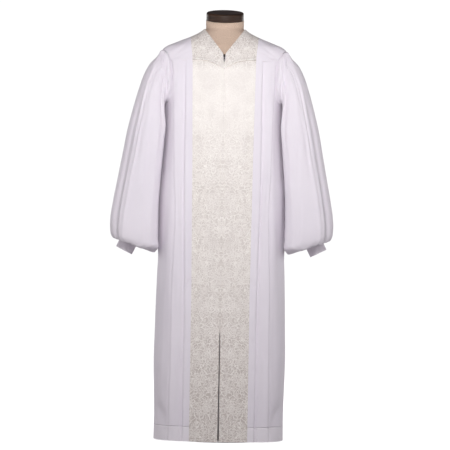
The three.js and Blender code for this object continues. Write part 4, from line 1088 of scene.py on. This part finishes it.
def rods(name, centres, directions, normals, length, radius):
    """Many small rounded rods joined in one mesh, such as stitches or zip coils."""
    directions = unit(directions)
    across = unit(np.cross(normals, directions))
    up = np.cross(directions, across)
    profile = [(-0.5, 0.35), (-0.36, 0.95), (0.36, 0.95), (0.5, 0.35)]
    points = []
    for along, size in profile:
        for turn in circle(ROD_SIDES):
            offset = across * math.cos(turn) + up * math.sin(turn) * 0.8
            points.append(centres + directions * along * length + offset * radius * size)
    points = np.stack(points, 1)
    last = (len(profile) - 1) * ROD_SIDES
    ring = np.arange(last)
    after = ring - ring % ROD_SIDES + (ring + 1) % ROD_SIDES
    quads = np.stack([ring, after, after + ROD_SIDES, ring + ROD_SIDES], -1)
    tris = []
    for k in range(1, ROD_SIDES - 1):
        tris += [(0, k + 1, k), (last, last + k, last + k + 1)]
    base = (np.arange(len(centres)) * points.shape[1])[:, None, None]
    return mesh_object(name, points.reshape(-1, 3), base + quads, None, base + np.array(tris))


def sew(name, x, z, rise, table, material, lies_on):
    """Stitches along a line of the front, on both sides of the centre."""
    angle = front_angle(x, z)
    points = on_robe(angle, z, rise - creases(table, x, z))
    reached = distances(points)
    at = np.arange(STITCH_PITCH / 2, reached[-1], STITCH_PITCH)
    middle, ahead = (
        np.stack([np.interp(at + step, reached, points[:, k]) for k in range(3)], -1) for step in (0, 0.5)
    )
    order = np.argsort(points[:, 2])
    normal = girth_normal(np.interp(middle[:, 2], points[order, 2], angle[order]), middle[:, 2])
    both = np.array([[[1, 1, 1]], [[-1, 1, 1]]])
    parts = [(part * both).reshape(-1, 3) for part in (middle, ahead - middle, normal)]
    place_piece(rods(name, *parts, STITCH_LENGTH, STITCH_RADIUS), lies_on, material=material)


def stitching():
    z = np.linspace(HEM + 2, 1330, 700)
    sew("placket_stitches", centre_edge(z) + 7, z, 0.1, BROCADE_CREASES, IVORY_THREAD, "brocade")
    t = np.linspace(0.04, 0.92, 60)
    x = mix(8, NECK_X + 5, t)
    z = np.minimum(mix(V_BOTTOM - 2, ridge_height(NECK_X) - 4, t), ridge_height(x) - 1)
    sew("neckline_stitches", x, z, 0.1, BROCADE_YOKE_CREASES, IVORY_THREAD, "brocade")
    x = np.linspace(brocade_line(YOKE_SEAM) + 2, 186, 60)
    z = YOKE_SEAM + 3.5 + 0.012 * (x - x[0])
    sew("yoke_stitches", x, z, 0.25, YOKE_CREASES, WHITE_THREAD, "white_cloth")


def zip_pieces():
    z, x = np.meshgrid(np.linspace(SLIT_TOP, SLIDER_TOP, 160), np.linspace(-11, 11, 15), indexing="ij")
    lift = -CLOTH - 0.45 - 0.12 * (1 - bump((np.abs(x) - 4.5) / 1.2))
    angle = front_angle(x, z)
    cloth("zip_tape_cloth", "zip_tape", on_robe(angle, z, lift),
          on_robe(angle, z, lift - 0.7))
    heights = np.arange(SLIT_TOP + 2, SLIDER_TOP - 12, 1.5)
    side = np.where(np.arange(len(heights)) % 2, 1, -1) * 0.9
    centres = on_robe(front_angle(side, heights), heights, -CLOTH - 0.1)
    directions = np.broadcast_to([1.0, 0, 0.12], centres.shape)
    coil = rods("zip_coil", centres, directions, girth_normal(0.0, heights), 4.4, 0.5)
    place_piece(coil, "white_cloth", material=thread_material("zip_coil_plastic", 214, 206, 198))
    metal = zip_metal_material()
    for node in ("zip_slider", "zip_pull"):
        paint(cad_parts[node], metal)


# ---- The dress form

NECK_TOP, NECK_TILT = 1482.2, 0.235  # the cap leans forward with the neck's top
NECK_HALF, NECK_DEEP = 66.4, 54
TORSO_ROUNDNESS, NECK_ROUNDNESS = 2.3, 2.1
CAP_PROFILE = [
    (63.4, 0), (64.6, 0.3), (65.3, 1), (65.5, 2.2), (65.5, 12), (65.5, 21), (65.3, 23), (64.8, 24.6),
    (63.9, 26), (62.4, 27.1), (60.5, 27.7), (58, 27.95), (40, 28), (20, 28),
]
POLE_PROFILE = [(12.0, 18.3), (12.5, 18.9), (12.5, 60), (12.5, 400), (12.5, 740), (12.5, 759), (12.1, 759.7)]
BASE_PROFILE = [
    (136.6, 12), (137.7, 12.4), (138, 13.2), (138, 16.2), (137.6, 17.2), (136.8, 17.8), (135.6, 18), (40, 18),
    (20, 18),
]


def ellipse_ring(half, front, back, z, angle, roundness):
    cos, power = np.cos(angle), 2 / roundness
    depth = np.where(cos > 0, front, back)
    x = half * signed_power(np.sin(angle), power)
    return np.stack([x, -depth * signed_power(cos, power), z + 0 * cos], -1)


def closed_loft(name, rings):
    """A closed body through a stack of rings, with its ends filled."""
    count = rings[..., 0].size
    index, quads = grid_quads(rings, True)
    low, high = index[0], index[-1]
    tris = [(after, here, count) for here, after in zip(low, low[1:])]
    tris += [(here, after, count + 1) for here, after in zip(high, high[1:])]
    points = np.concatenate([rings.reshape(-1, 3), rings[:1].mean(1), rings[-1:].mean(1)])
    uv = np.concatenate([arc_uv(rings).reshape(-1, 2), np.zeros((2, 2))])
    obj = mesh_object(name, points, quads, uv, tris)
    obj.data.set_sharp_from_angle(angle=SHARP_FORM)
    return obj


def turned_piece(name, node, slot, profile, flatten=1.0, lean=None):
    angle = circle(TURNED_COLUMNS)
    rings = np.array([ellipse_ring(r, r * flatten, r * flatten, z, angle, 2) for r, z in profile])
    obj = closed_loft(name, rings)
    if lean:
        obj.data.transform(lean @ Matrix.Translation((0, 0, FLOOR / 1000)))
    place_piece(obj, slot, node)


def form_pieces():
    angle = circle(TORSO_COLUMNS)
    body = [ellipse_ring(half, front, back, z, angle, TORSO_ROUNDNESS) for z, half, front, back in TORSO]
    under = -mix(3.2, 6.5, smooth(0.25, -0.5, np.cos(angle)))
    shoulders = [on_robe(angle, float(z), under) for z in (1392, 1400, 1413, 1425, 1437)]
    neck = []
    for z, lean in ((1452, 0), (1466, 0.4), (NECK_TOP, 1)):
        ring = ellipse_ring(NECK_HALF, NECK_DEEP, NECK_DEEP, z, angle, NECK_ROUNDNESS)
        ring[:, 2] += ring[:, 1] * math.tan(NECK_TILT * lean)
        neck.append(ring)
    keys = np.array([*body, *shoulders, *neck])
    rings = along_rings(keys, spread([0, 6, len(keys) - 1], [50, 64]))
    edge = (142, 85, 85, 760), (147, 89.5, 89.5, 761.5)
    bottom = [ellipse_ring(*sizes, angle, TORSO_ROUNDNESS) for sizes in edge]
    place_piece(closed_loft("linen_torso", np.concatenate([bottom, rings[1:]])), "linen", "form_torso")
    cap_height = (NECK_TOP + SEAM_GAP - FLOOR) / 1000
    lean = Matrix.Translation((0, 0, cap_height)) @ Matrix.Rotation(NECK_TILT, 4, "X")
    turned_piece("neck_cap", "form_cap", "dark_wood", CAP_PROFILE, NECK_DEEP / NECK_HALF, lean)
    turned_piece("stand_pole", "form_pole", "painted_steel", POLE_PROFILE)
    turned_piece("stand_base", "form_base", "painted_steel", BASE_PROFILE)


# ---- Stage


def light(name, place, target, power, size):
    data = bpy.data.lights.new(name, "AREA")
    data.energy = power
    data.size = size
    obj = bpy.data.objects.new(name, data)
    bpy.context.collection.objects.link(obj)
    obj.location = place
    obj.rotation_euler = (Vector(target) - Vector(place)).to_track_quat("-Z", "Y").to_euler()


def stage():
    bpy.ops.mesh.primitive_plane_add(size=14, location=(0, 2, -0.0005))
    floor = bpy.context.object
    floor.name = "floor"
    paint(floor, floor_material())
    floor.visible_diffuse = False
    world = bpy.data.worlds.new("studio")
    world.use_nodes = True
    nodes, links = world.node_tree.nodes, world.node_tree.links
    chooser = nodes.new("ShaderNodeMixShader")
    links.new(nodes.new("ShaderNodeLightPath").outputs["Is Camera Ray"], chooser.inputs[0])
    dim, bright = nodes["Background"], nodes.new("ShaderNodeBackground")
    backgrounds = (dim, (1.0, 0.93, 1.0, 1), 0.18), (bright, (1, 1, 1, 1), 1.05)
    for place, (node, colour, strength) in enumerate(backgrounds, 1):
        node.inputs["Color"].default_value = colour
        node.inputs["Strength"].default_value = strength
        links.new(node.outputs[0], chooser.inputs[place])
    links.new(chooser.outputs[0], nodes["World Output"].inputs[0])
    bpy.context.scene.world = world
    light("key", (0.0, -1.6, 1.46), (0, 0, 1.15), 17, 0.7)
    light("front", (0.0, -5.5, 0.9), (0, 0, 0.8), 32, 2.2)
    for side, sign in (("left", -1), ("right", 1)):
        light("fill_" + side, (sign * 2.1, -0.8, 1.1), (sign * 0.2, 0, 0.9), 8.5, 1.1)
        light("back_" + side, (sign * 2.6, 3.4, 1.5), (0, 0, 0.85), 40, 1.4)
    bpy.context.scene.view_settings.view_transform = "Standard"


form_pieces()
brocade_yoke_pieces()
front_yoke_pieces()
back_yoke_piece()
brocade_pieces()
front_panel_pieces()
back_panel_piece()
sleeve_pieces()
cuff_pieces()
zip_pieces()
stitching()
stage()


def corners(box):
    return [[round(float(value), 5) for value in corner] for corner in box]
